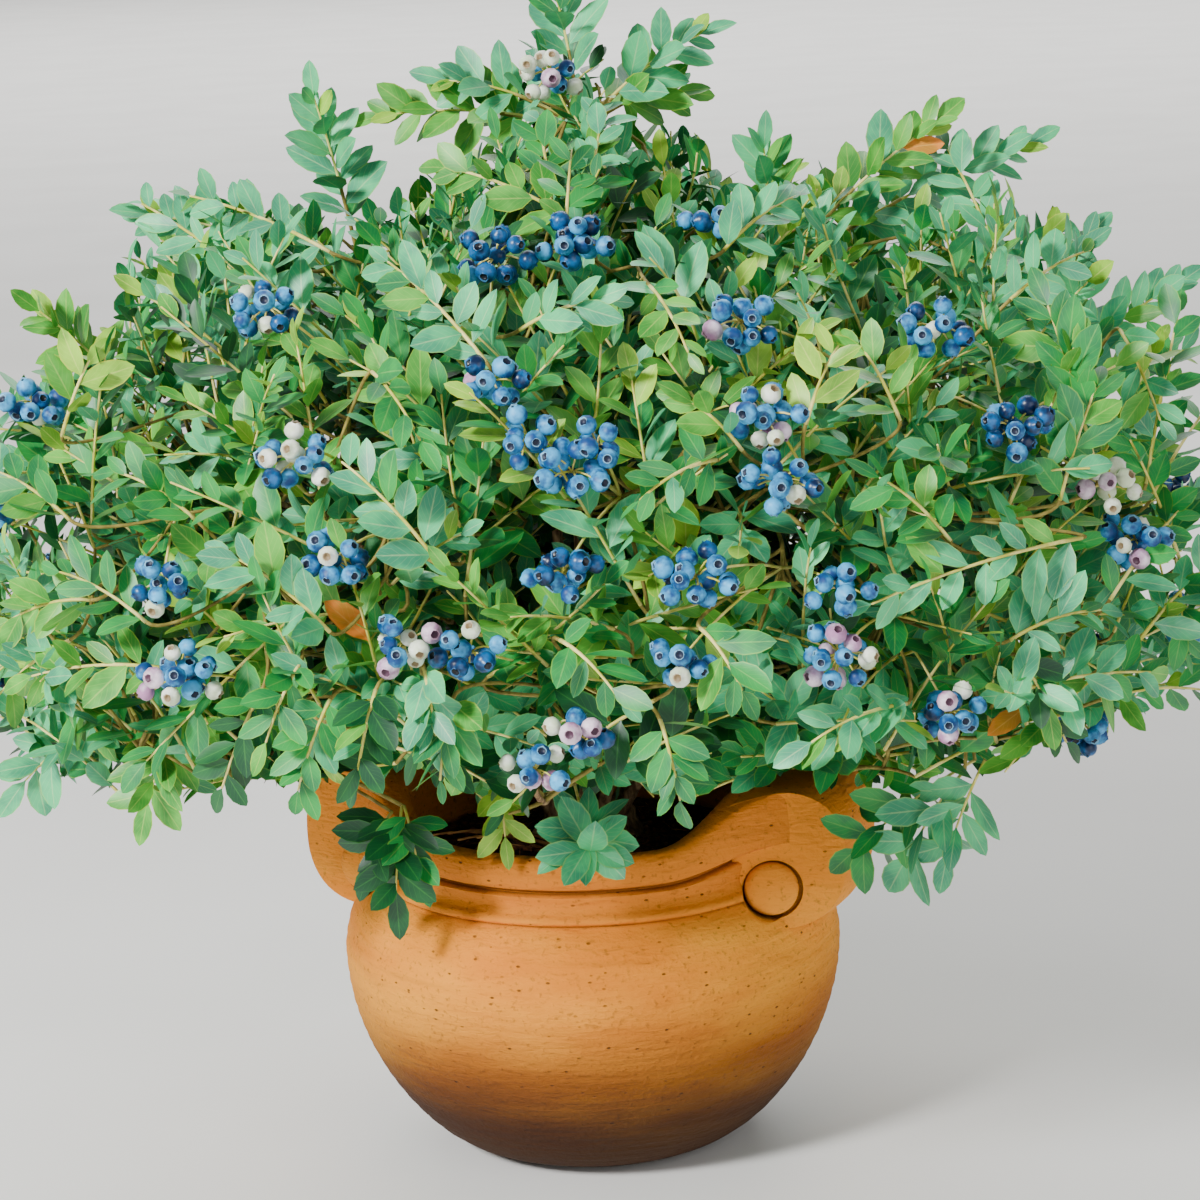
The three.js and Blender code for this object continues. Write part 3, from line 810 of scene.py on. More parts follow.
@dataclass
class Pot:
    """The round-bellied pot: narrow foot, moulded rim, and its lip raised into two ears."""

    foot_r: float = 84.0
    belly_r: float = 165.0
    belly_z: float = 138.0
    neck_r: float = 139.0
    neck_z: float = 184.0
    bead_r: float = 142.0
    cove_r: float = 135.0
    groove_r: float = 129.5
    lip_r: float = 135.5
    lip_z: float = 226.0
    wall: float = 14.0
    inside_r: float = 118.0
    inside_z: float = 166.0
    floor_z: float = 18.0
    sides: int = 256
    belly_steps: int = 84
    shoulder_steps: int = 28
    ring_mm: float = 0.24

    def outer(self) -> list[tuple[float, float]]:
        """The belly from the foot to the neck, as radius and height."""
        made = [(self.foot_r - 5, 0.0), (self.foot_r - 1.5, 0.9), (self.foot_r, 3.0)]
        for i in range(1, self.belly_steps + 1):
            a = i / self.belly_steps * math.pi / 2
            r = self.foot_r + (self.belly_r - self.foot_r) * math.sin(a)
            made.append((r, 3 + (self.belly_z - 3) * (1 - math.cos(a)) ** 0.8))
        for i in range(1, self.shoulder_steps + 1):
            t = i / self.shoulder_steps
            r = self.belly_r - (self.belly_r - self.neck_r) * (0.35 * t + 0.65 * t * t * t)
            made.append((r, self.belly_z + (self.neck_z - self.belly_z) * t * (1.25 - 0.25 * t)))
        return made

    def rim(self) -> list[tuple[float, float]]:
        """The bead, cove, groove and upper band, to the inner edge of the lip."""
        cove = (
            (3.4, 6.8), (2.0, 7.6), (1.7, 8.6), (0.6, 9.6), (0.0, 12.0), (0.2, 14.5), (1.1, 16.6),
            (1.2, 18.0), (-0.2, 18.9),
        )
        upper = ((-0.1, -7), (-0.9, -3.6), (-2.8, -1.2), (-5.4, 0), (-9.5, 0.2), (-13, -0.6))
        mouldings = (
            (self.neck_r, self.neck_z, ((0.4, 0.6),)),
            (self.bead_r, self.neck_z, ((-0.9, 1.3), (0, 2.8), (-0.2, 4.4), (-1.6, 5.8))),
            (self.cove_r, self.neck_z, cove),
            (self.groove_r, self.neck_z, ((0.6, 19.3), (0, 20.2), (0.4, 21.2))),
            (self.lip_r, self.neck_z, ((-2.4, 21.9), (-1.2, 22.9), (-0.2, 26.0), (0, 30.0))),
            (self.lip_r, self.lip_z, upper),
            (self.inside_r, self.lip_z, ((1.6, -2.2), (0, -5))),
        )
        return [(r + out, z + up) for r, z, steps in mouldings for out, up in steps]

    def profile(self) -> list[tuple[float, float]]:
        """The whole wall, from under the foot, over the lip and down to the inner floor."""
        low, high = self.floor_z + 12, self.belly_z + 4
        inner = [(r - self.wall, z) for r, z in reversed(self.outer()) if low < z < high]
        return [
            *self.outer(),
            *self.rim(),
            (self.inside_r, self.inside_z),
            *inner[::3],
            (self.foot_r - self.wall + 6, self.floor_z),
        ]

    def throw(self) -> Object:
        """Throws the pot: one ring is drawn up the profile and both ends are closed.

        Returns:
            The pot's body, its rim still level.
        """
        profile = self.profile()
        pot = disc(profile[0][0], self.sides, "EDGE")
        draw_up(profile, ring=True)
        bpy.ops.mesh.edge_face_add()
        close_up()
        return settle(pot, "pot_wall")

    def sweep_rim(self, pot: Object, ears: Ears) -> None:
        """Lifts the lip towards the ears, lays the upper band into their faces and unrounds the wall.

        Args:
            pot: the thrown pot.
            ears: the sizes of the ears.
        """
        p = corners(pot)
        share = ears.share(p)
        height = smooth((p[:, 2] - self.neck_z - 8) / (self.lip_z - self.neck_z - 12))
        upper = smooth((p[:, 2] - self.neck_z - 20.5) / 2.0)
        r = np.hypot(p[:, 0], p[:, 1])
        a = np.arctan2(p[:, 1], p[:, 0])
        outside = r > self.lip_r - 9
        turned = np.abs(np.arcsin(np.clip(np.sin(a - ears.turn), -1, 1)))
        plane = (ears.face - 0.8) / np.maximum(np.cos(ears.face_angle - turned), 0.2)
        soft = 38.0
        close = np.clip(1 - np.abs(r - plane) / soft, 0, 1)
        meet = np.maximum(r, plane) + soft / 4 * close**2
        fade = smooth((turned - math.radians(13)) / math.radians(3))
        near = smooth((math.radians(68) - turned) / math.radians(12))
        push = (meet - r) * fade * near * upper * outside
        rings = np.sin(p[:, 2] * 0.82 + 0.9 * np.sin(p[:, 2] * 0.23) + 0.5 * np.sin(a))
        rings += 0.55 * np.sin(p[:, 2] * 1.47 + 1.3 + 0.8 * np.sin(a + 1))
        thrown = self.ring_mm * rings * smooth((p[:, 2] - 4) / 8) * smooth((self.neck_z - 4 - p[:, 2]) / 30)
        p[:, 2] += share * height * (ears.top_z - self.lip_z)
        wobble = 0.35 * np.sin(2 * a + p[:, 2] * 0.021) + 0.22 * np.sin(5 * a - p[:, 2] * 0.043 + 1)
        roofed = (push > 0.5) & (turned < math.radians(40))
        p[:, 2] = np.where(roofed, np.minimum(p[:, 2], ears.roof(r + push) - 0.6), p[:, 2])
        grow = (r + push + (wobble + thrown) * (r > 60)) / np.maximum(r, 1e-6)
        p[:, :2] *= grow[:, None]
        move_corners(pot, p)

    def build(self, finish: Material, lug: Material) -> None:
        """Builds and dresses the pot, its ears and their eyes.

        Args:
            finish: the pot's terracotta.
            lug: the redder terracotta of the ears.
        """
        ears = Ears()
        pot = self.throw()
        self.sweep_rim(pot, ears)
        for side in (1, -1):
            for end in (-1, 1):
                ears.sink_groove(pot, side, end)
        smooth_by_angle(pot, 50)
        dress(pot, finish, "terracotta", "pot_body")
        for side, word in ((1, "right"), (-1, "left")):
            dress(ears.build_ear(side, f"ear_{word}"), lug, "terracotta", f"handle_{word}")
            for end in (-1, 1):
                place = "front" if end * side < 0 else "back"
                eye = ears.build_eye(side, end, f"eye_{word}_{place}")
                dress(eye, lug, "terracotta", f"scroll_eye_{word}_{place}")


# ---------- soil and mulch
@dataclass
class PottingMix:
    """The mounded mix in the pot and the pine mulch that lies on it."""

    inside_r: float = 117.0
    level: float = 198.0
    mound: float = 6.0
    bottom: float = 150.0
    chips: int = 420
    straws: int = 130
    seed: int = 41
    # needles that lie over the lip: degrees round the pot, share of the lip's radius, rise
    over_lip: tuple = ((-142, 1.0, 0.0), (-137, 0.97, 2.0), (-131, 1.0, 1.0), (-126, 0.95, 2.5))

    def ground(self, x: Array, y: Array) -> Array:
        """The mix's height at a place, in millimetres."""
        r = np.hypot(x, y)
        dome = self.level - 3 + (self.mound + 3) * smooth((self.inside_r - r) / (self.inside_r - 45))
        heaps = 1.3 * np.sin(x * 0.19 + 1) * np.sin(y * 0.23)
        crumbs = 0.8 * np.sin(x * 0.61) * np.sin(y * 0.53 + 2)
        return dome + (heaps + crumbs)

    def build_mound(self, finish: Material) -> None:
        """Builds the mound: a disc drawn in ring by ring and heaped up.

        Args:
            finish: the mix's material.
        """
        mound = disc(self.inside_r, 72, "FACE", self.bottom)
        bpy.ops.mesh.extrude_region_move(
            TRANSFORM_OT_translate={"value": (0, 0, (self.level - self.bottom) * MM)}
        )
        for _ in range(22):
            bpy.ops.mesh.inset(thickness=5 * MM)
        close_up()
        settle(mound, "potting_mix")
        p = corners(mound)
        top = p[:, 2] > self.level - 1
        p[top, 2] = self.ground(p[top, 0], p[top, 1])
        move_corners(mound, p)
        smooth_by_angle(mound, 60)
        dress(mound, finish, "soil", "potting_soil")

    def build_mulch(self, chip: Material, straw: Material) -> None:
        """Scatters bark chips and pine straw over the mound.

        Args:
            chip: the bark chips' material.
            straw: the needles' material.
        """
        random = np.random.default_rng(self.seed)
        points, faces = [], []
        for _ in range(self.chips):
            x, y = self.scattered(8, random)
            long = random.uniform(3, 9)
            size = long * vec(1, random.uniform(0.35, 0.6), random.uniform(0.15, 0.3))
            block, sides = rough_block(size, random)
            turn = np.array(Matrix.Rotation(random.random() * math.tau, 3, "Z"))
            tilt = np.array(Matrix.Rotation(random.uniform(-0.5, 0.5), 3, "X"))
            at = vec(x, y, float(self.ground(x, y)) + 0.8)
            faces += [[i + len(points) * 8 for i in side] for side in sides]
            points.append(block @ (turn @ tilt).T + at)
        chips = mesh_object("mulch_chips", np.vstack(points), faces)
        chips.data.shade_flat()
        dress(chips, chip, "soil")
        tubes = []
        for _ in range(self.straws):
            x, y = self.scattered(30, random)
            heading = random.random() * math.tau
            reach = random.uniform(18, 42)
            dx, dy = reach * math.cos(heading) / 2, reach * math.sin(heading) / 2
            lift = 1.2 + 3 * random.random()
            ends = []
            for end_x, end_y in ((x - dx, y - dy), (x + dx, y + dy)):
                ends.append(self.kept_inside(vec(end_x, end_y, float(self.ground(end_x, end_y)) + 1.2)))
            aside = (random.uniform(-4, 4), random.uniform(-4, 4))
            middle = vec(x + aside[0], y + aside[1], float(self.ground(x, y)) + lift)
            tubes.append(Tube(Bend(ends[0], middle, ends[1]), 0.55, 0.3, 6, 4))
        for angle, out, rise in self.over_lip:
            a = math.radians(angle)
            lip, foot = polar(126 * out, a, 230 + rise), polar(58, a + 0.5, 208)
            top = (lip + foot) / 2 + vec(0, 0, 13 + rise)
            tubes.append(Tube(Bend(foot, top, lip), 1.3, 0.7, 10, 5))
        dress(tube_object("mulch_straw", tubes), straw, "soil")

    def scattered(self, inset: float, random: Generator) -> tuple[float, float]:
        """A place on the mix, dealt evenly over it but for an inset at its edge.

        Args:
            inset: the width left bare.
            random: the seeded draw.

        Returns:
            The place, across and back.
        """
        r = (self.inside_r - inset) * math.sqrt(random.random())
        a = random.random() * math.tau
        return r * math.cos(a), r * math.sin(a)

    def kept_inside(self, p: Array) -> Array:
        """Moves a point in from the wall, if need be."""
        r = math.hypot(p[0], p[1])
        limit = self.inside_r - 3
        return p if r < limit else vec(p[0] * limit / r, p[1] * limit / r, p[2])


def rough_block(size: Array, random: Generator) -> tuple[Array, list]:
    """A broken chip of eight uneven corners.

    Args:
        size: its three half sizes.
        random: the seeded draw.

    Returns:
        Its corners and its faces.
    """
    signs = np.array([(x, y, z) for x in (-1, 1) for y in (-1, 1) for z in (-1, 1)], dtype=float)
    block = signs * size * random.uniform(0.55, 1.15, (8, 3))
    sides = [(0, 1, 3, 2), (4, 6, 7, 5), (0, 4, 5, 1), (2, 3, 7, 6), (0, 2, 6, 4), (1, 5, 7, 3)]
    return block, sides


# ---------- limbs
class Bend:
    """A smooth quadratic bend from one point to another."""

    def __init__(self, start: Array, middle: Array, end: Array) -> None:
        """Keeps the three points of the bend."""
        self.start, self.middle, self.end = start, middle, end

    def at(self, t: Array | float) -> Array:
        """The points at these shares of the way."""
        t = np.asarray(t, dtype=float)[..., None]
        return (1 - t) ** 2 * self.start + 2 * t * (1 - t) * self.middle + t * t * self.end

    def heading(self, t: Array | float) -> Array:
        """The directions at these shares of the way."""
        t = np.asarray(t, dtype=float)[..., None]
        return unit((1 - t) * (self.middle - self.start) + t * (self.end - self.middle))

    def length(self) -> float:
        """The way's length."""
        p = self.at(np.linspace(0, 1, 9))
        return float(np.linalg.norm(np.diff(p, axis=0), axis=1).sum())


@dataclass
class Tube:
    """One tapering limb along a bend."""

    bend: Bend
    foot: float
    tip: float
    steps: int
    sides: int
    knots: float = 0.0

    def mesh(self, first: int, random: Generator) -> tuple[Array, list]:
        """Builds the limb's skin, closed at both ends.

        Args:
            first: the number of its first corner.
            random: the seeded draw for knots.

        Returns:
            Its corners and its faces.
        """
        t = np.linspace(0, 1, self.steps + 1)
        middles, ahead = self.bend.at(t), self.bend.heading(t)
        aside = np.eye(3)[int(np.argmin(np.abs(ahead.mean(axis=0))))]
        across = unit(np.cross(ahead, aside))
        over = np.cross(ahead, across)
        a = np.arange(self.sides) / self.sides * math.tau
        radii = self.foot + (self.tip - self.foot) * t
        radii = np.repeat(radii[:, None], self.sides, axis=1)
        if self.knots:
            ridge = 1 + 0.5 * self.knots * np.sin(3 * a[None, :] + 9 * t[:, None])
            radii = radii * ridge * random.uniform(1 - self.knots, 1 + self.knots, (self.steps + 1, 1))
        ring = across[:, None] * np.cos(a)[None, :, None] + over[:, None] * np.sin(a)[None, :, None]
        skin = (middles[:, None] + ring * radii[:, :, None]).reshape(-1, 3)
        tip = middles[-1] + ahead[-1] * self.tip
        n = self.sides
        faces = [list(range(first + n - 1, first - 1, -1))]
        for i in range(self.steps):
            for j in range(n):
                k = (j + 1) % n
                low, high = first + i * n, first + (i + 1) * n
                faces.append((low + j, low + k, high + k, high + j))
        last, top = first + self.steps * n, first + len(skin)
        faces += [(last + j, last + (j + 1) % n, top) for j in range(n)]
        return np.vstack([skin, tip]), faces


def tube_object(name: str, tubes: list[Tube], seed: int = 7) -> Object:
    """Joins limbs of one kind into a piece.

    Args:
        name: the name of the piece.
        tubes: the limbs.
        seed: the seed of their knots.

    Returns:
        The joined piece.
    """
    random = np.random.default_rng(seed)
    points, faces, count = [], [], 0
    for tube in tubes:
        skin, sides = tube.mesh(count, random)
        points.append(skin)
        faces += sides
        count += len(skin)
    return mesh_object(name, np.vstack(points), faces)


# ---------- layout of the crown
@dataclass(frozen=True)
class Ring:
    """A ring of foliage masses, as in the frame."""

    name: str
    count: int
    turn: float
    radius: float
    z: float
    foot: float
    bough: float
    lean: float


@dataclass
class Mass:
    """One mass of foliage: its heart, the cane that carries it and its own branches."""

    name: str
    heart: Array
    foot: Array
    radius: float
    lean: float
    cane: Bend | None = None
    stem: Bend | None = None
    branches: list[Bend] = field(default_factory=list)

    def joint_near(self, p: Array) -> Array:
        """The place on this mass's own branches that lies nearest to a point."""
        sites = np.vstack([branch.at(np.linspace(0.1, 1.0, 10)) for branch in self.branches])
        return sites[int(np.argmin(np.sum((sites - p) ** 2, axis=1)))]


@dataclass
class Dome:
    """The space that the crown fills: a flat-topped dome with a peak, and a hem above the rim."""

    x: float = 410.0
    y: float = 400.0
    up: float = 272.0
    up_power: float = 4.0
    down: float = 150.0
    down_power: float = 2.4
    z: float = 385.0
    peak_x: float = -5.0
    peak_up: float = 92.0
    peak_radius: float = 105.0
    skirt_side: float = 236.0
    skirt_front: float = 292.0
    # the pot as the crown keeps clear of it: its belly up to the shoulder, its bead above that, its lip
    belly_r: float = 165.0
    bead_r: float = 142.0
    shoulder_z: float = 190.0
    lip_z: float = 236.0

    def tall(self, p: Array) -> Array:
        """The dome's height above or depth below its middle over each point."""
        off = ((p[..., 0] - self.peak_x) ** 2 + p[..., 1] ** 2) / self.peak_radius**2
        return np.where(p[..., 2] > self.z, self.up + self.peak_up * np.exp(-off), self.down)

    def level(self, p: Array, grow: float = 0.0) -> Array:
        """Below one inside the dome, above one outside it."""
        wide = (p[..., 0] / (self.x + grow)) ** 2 + (p[..., 1] / (self.y + grow)) ** 2
        power = np.where(p[..., 2] > self.z, self.up_power, self.down_power)
        return wide + (np.abs(p[..., 2] - self.z) / (self.tall(p) + grow)) ** power

    def above_skirt(self, p: Array) -> Array:
        """True above the crown's hem, which hangs lower at the sides and back than in front."""
        front = smooth((-p[..., 1] - 60) / 160) * smooth((270 - np.abs(p[..., 0])) / 110)
        return p[..., 2] > self.skirt_side + (self.skirt_front - self.skirt_side) * front

    def reach(self, direction: Array) -> Array:
        """How far the dome's skin lies from its middle along each direction."""
        low, high = np.zeros(direction.shape[:-1]), np.full(direction.shape[:-1], 600.0)
        for _ in range(24):
            middle = (low + high) / 2
            inside = self.level(direction * middle[..., None] + vec(0, 0, self.z)) < 1
            low, high = np.where(inside, middle, low), np.where(inside, high, middle)
        return low

    def outward(self, p: Array) -> Array:
        """The dome's outward direction at a point."""
        step = np.eye(3) * 4
        return unit(self.level(p + step) - self.level(p - step))

    def clear_of_pot(self, p: Array, ears: Ears, margin: float) -> bool:
        """True when none of the points comes within the margin of the pot."""
        flat = np.hypot(p[:, 0], p[:, 1])
        by_ear = ears.share(p) > 0.02
        round_pot = np.where(p[:, 2] < self.shoulder_z, self.belly_r, self.bead_r)
        near = np.where(by_ear, ears.out_r, round_pot)
        top = np.where(by_ear, ears.top_z, self.lip_z)
        return bool(np.all((p[:, 2] > top + margin) | (flat > near + margin)))


RINGS = (
    Ring("lower", 6, -96, 262, 322, 26, 4.4, 0.26),
    Ring("middle", 6, -66, 268, 470, 17, 4.6, 0.42),
    Ring("upper", 4, -100, 160, 572, 8, 4.0, 0.5),
)
CROWN_TOP_Z = 222.3


def lay_out_masses() -> list[Mass]:
    """Lays out the masses by the frame's own rule.

    Returns:
        The masses, each with the cane that carries it.
    """
    masses = []
    for ring in RINGS:
        for i in range(ring.count):
            a = math.radians(ring.turn + 360 * i / ring.count)
            b = a + math.radians(6)
            heart, foot = polar(ring.radius, a, ring.z), polar(ring.foot, b, CROWN_TOP_Z)
            masses.append(Mass(f"{ring.name}_{i}", heart, foot, ring.bough, ring.lean))
    masses.append(Mass("top", vec(-5, 0, 655), vec(0, 0, CROWN_TOP_Z), 3.6, 0.5))
    for mass in masses:
        end = mass.heart.copy()
        flat = math.hypot(end[0], end[1])
        back = min(70, 0.3 * flat + 30)
        out = unit(vec(end[0], end[1], 0))
        end -= out * back * 0.8
        end[2] -= back * 0.45
        high = max(end[2] * 0.72 + mass.foot[2] * 0.28, 306)
        mass.cane = Bend(mass.foot, vec(0, 0, high) + out * flat * mass.lean, end)
    return masses


# ---------- camera
# soft square lamps: name, place and aim in metres, side in metres, power in watts
LAMPS = (
    ("key", (-1.9, -2.2, 2.0), (0, 0, 0.36), 0.6, 185.0),
    ("fill", (1.5, -2.5, 1.1), (0, 0, 0.45), 2.2, 33.0),
    ("back", (0.6, 2.4, 2.2), (0, 0, 0.4), 1.8, 30.0),
    ("floor_far", (0, 13.0, 9.0), (0, 14.0, 0), 14.0, 2400.0),
)


@dataclass
class Studio:
    """The camera, the soft lights and the pale floor."""

    distance: float = 2200.0
    height: float = 850.0
    pitch: float = 12.48
    roll: float = -2.2
    aside: float = 13.5
    lens: float = 103.0
    sensor: float = 36.0
    frame_px: float = 1200.0
    # between these distances from the camera a sight line looks for the dome
    nearest_mm: float = 1500.0
    farthest_mm: float = 2400.0

    def matrix(self) -> Matrix:
        """The camera's place and turn, in metres."""
        turn = Matrix.Rotation(math.radians(90 - self.pitch), 4, "X")
        turn = turn @ Matrix.Rotation(math.radians(self.roll), 4, "Z")
        return Matrix.Translation(Vector((self.aside, -self.distance, self.height)) * MM) @ turn

    def ray(self, across: float, down: float) -> tuple[Array, Array]:
        """The sight line through a place in the frame.

        Args:
            across: from the frame's left edge, of 1200.
            down: from the frame's top edge, of 1200.

        Returns:
            The camera's place in millimetres and the direction.
        """
        place = self.matrix()
        focal = self.lens / self.sensor * self.frame_px
        seen = Vector((across - self.frame_px / 2, self.frame_px / 2 - down, -focal))
        return np.array(place.translation) / MM, unit(np.array(place.to_3x3() @ seen))

    def seen(self, points: Array) -> Array:
        """Where points lie in the frame, across and down."""
        place = self.matrix()
        local = (points - np.array(place.translation) / MM) @ np.array(place.to_3x3())
        focal = self.lens / self.sensor * self.frame_px
        return self.frame_px / 2 + focal * local[:, :2] * (1, -1) / -local[:, 2:]

    def on_plane(self, across: float, down: float, y: float) -> Array:
        """Where the sight line meets the upright plane at a depth."""
        eye, ahead = self.ray(across, down)
        return eye + ahead * (y - eye[1]) / ahead[1]

    def on_dome(self, across: float, down: float, dome: Dome, sink: float) -> Array:
        """Where the sight line first meets the dome, sunk a little.

        Args:
            across: from the frame's left edge.
            down: from the frame's top edge.
            dome: the crown's space.
            sink: how far inside the skin.

        Returns:
            The point, or the one nearest to the dome where the line passes it by.
        """
        eye, ahead = self.ray(across, down)
        far = np.linspace(self.nearest_mm, self.farthest_mm, 600)
        points = eye + ahead * far[:, None]
        level = dome.level(points, -sink)
        inside = np.nonzero(level < 1)[0]
        return points[inside[0]] if len(inside) else points[int(np.argmin(level))]

    def build(self) -> None:
        """Sets the camera, the lights and the floor."""
        data = bpy.data.cameras.new("camera")
        data.lens, data.sensor_width = self.lens, self.sensor
        camera = bpy.data.objects.new("camera", data)
        bpy.context.collection.objects.link(camera)
        camera.matrix_world = self.matrix()
        bpy.context.scene.camera = camera
        for name, place, aim, size, power in LAMPS:
            light = bpy.data.lights.new(name, "AREA")
            light.size, light.energy = size, power
            lamp = bpy.data.objects.new(name, light)
            bpy.context.collection.objects.link(lamp)
            lamp.location = place
            lamp.rotation_euler = (Vector(aim) - Vector(place)).to_track_quat("-Z", "Y").to_euler()
        world = bpy.data.worlds.new("studio")
        world.use_nodes = True
        world.node_tree.nodes["Background"].inputs["Color"].default_value = linear("#F4F5F6")
        world.node_tree.nodes["Background"].inputs["Strength"].default_value = 0.40
        bpy.context.scene.world = world
        deselect()
        bpy.ops.mesh.primitive_plane_add(size=120, location=(0, 0, 0))
        floor = settle(bpy.context.object, "floor")
        floor.data.materials.append(StudioPaper().material())


# ---------- leaves
class Tint(enum.Enum):
    """The tints that leaves are dealt, spray by spray."""

    GLAUCOUS = "glaucous"
    MID = "mid"
    FRESH = "fresh"
    YOUNG = "young"
    # a darker tint that paints the shade inside and under the crown
    DEEP = "deep"
    AUTUMN = "autumn"


LEAF_FINISHES = {
    Tint.GLAUCOUS: LeafBlade("leaf_glaucous_wax", "#3EA874", "#B8DC94", "#A8CC58"),
    Tint.MID: LeafBlade("leaf_summer_green", "#1E8442", "#86C058", "#96C232"),
    Tint.FRESH: LeafBlade("leaf_fresh_green", "#489E36", "#B8D45C", "#C6CE34"),
    Tint.YOUNG: LeafBlade("leaf_young_yellow_green", "#7EB432", "#D8DC70", "#DED23A"),
    # painted shade: the darker finish of the inner and lower leaves
    Tint.DEEP: LeafBlade("leaf_inner_painted_shade_green", "#0D4E28", "#429038", "#3C8A24"),
    Tint.AUTUMN: LeafBlade("leaf_turned_orange", "#D8882C", "#E8B45A", "#B9632A"),
}
TINTS = tuple(LEAF_FINISHES)


class LeafBook:
    """Every leaf of the crown, kept as rows until each tint is made into one piece."""

    # share of the length, share of the width to each side
    STATIONS = (
        (0.00, 0.030),
        (0.06, 0.060),
        (0.24, 0.36),
        (0.48, 0.50),
        (0.72, 0.43),
        (0.90, 0.23),
        (1.00, 0.00),
    )

    def __init__(self) -> None:
        """Starts with no leaf."""
        self.rows: list[tuple] = []

    def add(self, root: Array, along: Array, normal: Array, length: float, tint: int) -> None:
        """Keeps one leaf: its root, its direction, the way it faces, its length and its tint."""
        self.rows.append((*root, *along, *normal, length, tint))

    def build(self, seed: int) -> list[tuple[Tint, Object]]:
        """Makes one joined piece of each tint.

        Args:
            seed: the seed of the blades' small differences.

        Returns:
            Each tint with its piece.
        """
        random = np.random.default_rng(seed)
        rows = np.array(self.rows)
        stations = np.array(self.STATIONS)
        count = len(stations)
        made = []
        for index, tint in enumerate(TINTS):
            mine = rows[rows[:, 10] == index]
            n = len(mine)
            root, along, facing, length = mine[:, 0:3], unit(mine[:, 3:6]), mine[:, 6:9], mine[:, 9]
            side = unit(np.cross(along, facing))
            up = np.cross(side, along)
            width = length * random.uniform(0.39, 0.55, n)
            droop = length * random.uniform(-0.02, 0.20, n)
            fold = width * random.uniform(0.05, 0.30, n)
            twist = random.uniform(-0.35, 0.35, n)
            points = np.empty((n, count - 1, 3, 3))
            for k in range(count - 1):
                t, half = stations[k]
                middle = root + along * (length * t)[:, None] - up * (droop * t * t)[:, None]
                turn = twist * t
                out = side * np.cos(turn)[:, None] + up * np.sin(turn)[:, None]
                lift = up * (fold * half)[:, None]
                for j, sign in enumerate((-1, 0, 1)):
                    edge = out * (sign * half * width)[:, None]
                    points[:, k, j] = middle + edge + (lift if sign else 0)
            tips = (root + along * length[:, None] - up * droop[:, None])[:, None]
            block = np.concatenate([points.reshape(n, -1, 3), tips], axis=1)
            faces, places = self.pattern(count)
            made.append((tint, joined_copies(f"leaves_{tint.value}", block, faces, "blade", places)))
        return made

    def pattern(self, count: int) -> tuple[list, list]:
        """The faces of one blade and each corner's place on it.

        Args:
            count: how many stations the blade has.

        Returns:
            The faces, and for each corner of each face its place across and along.
        """
        faces = []
        for k in range(count - 2):
            for j in (0, 1):
                a = k * 3 + j
                faces.append((a, a + 1, a + 4, a + 3))
        last, tip = (count - 2) * 3, (count - 1) * 3
        faces += [(last, last + 1, tip), (last + 1, last + 2, tip)]
        places = [(side, self.STATIONS[k][0]) for k in range(count - 1) for side in (-1.0, 0.0, 1.0)]
        places.append((0.0, 1.0))
        return faces, [places[c] for face in faces for c in face]


# ---------- berries
class Ripeness(enum.Enum):
    """How far a berry has ripened."""

    RIPE = "ripe"
    DARK = "dark"
    GREEN = "green"
    BLUSH = "blush"


# a ripe highbush blueberry is some 12 mm across
BERRY_R = 6.1
BERRY_FINISHES = {
    Ripeness.RIPE: BerrySkin("berry_ripe_under_bloom", "#063C76", "#48ACE2", "#061430", "#90CEEC"),
    Ripeness.DARK: BerrySkin("berry_ripe_rubbed", "#041A3C", "#16629E", "#040A18", "#468CC4", 0.32),
    Ripeness.GREEN: BerrySkin("berry_unripe_pale", "#CBD9B4", "#F2F4E8", "#7D6A4A", "#B9A27C"),
    Ripeness.BLUSH: BerrySkin("berry_turning_pink", "#A9789F", "#E6D2E0", "#4A2A3E", "#D0A8BC"),
}


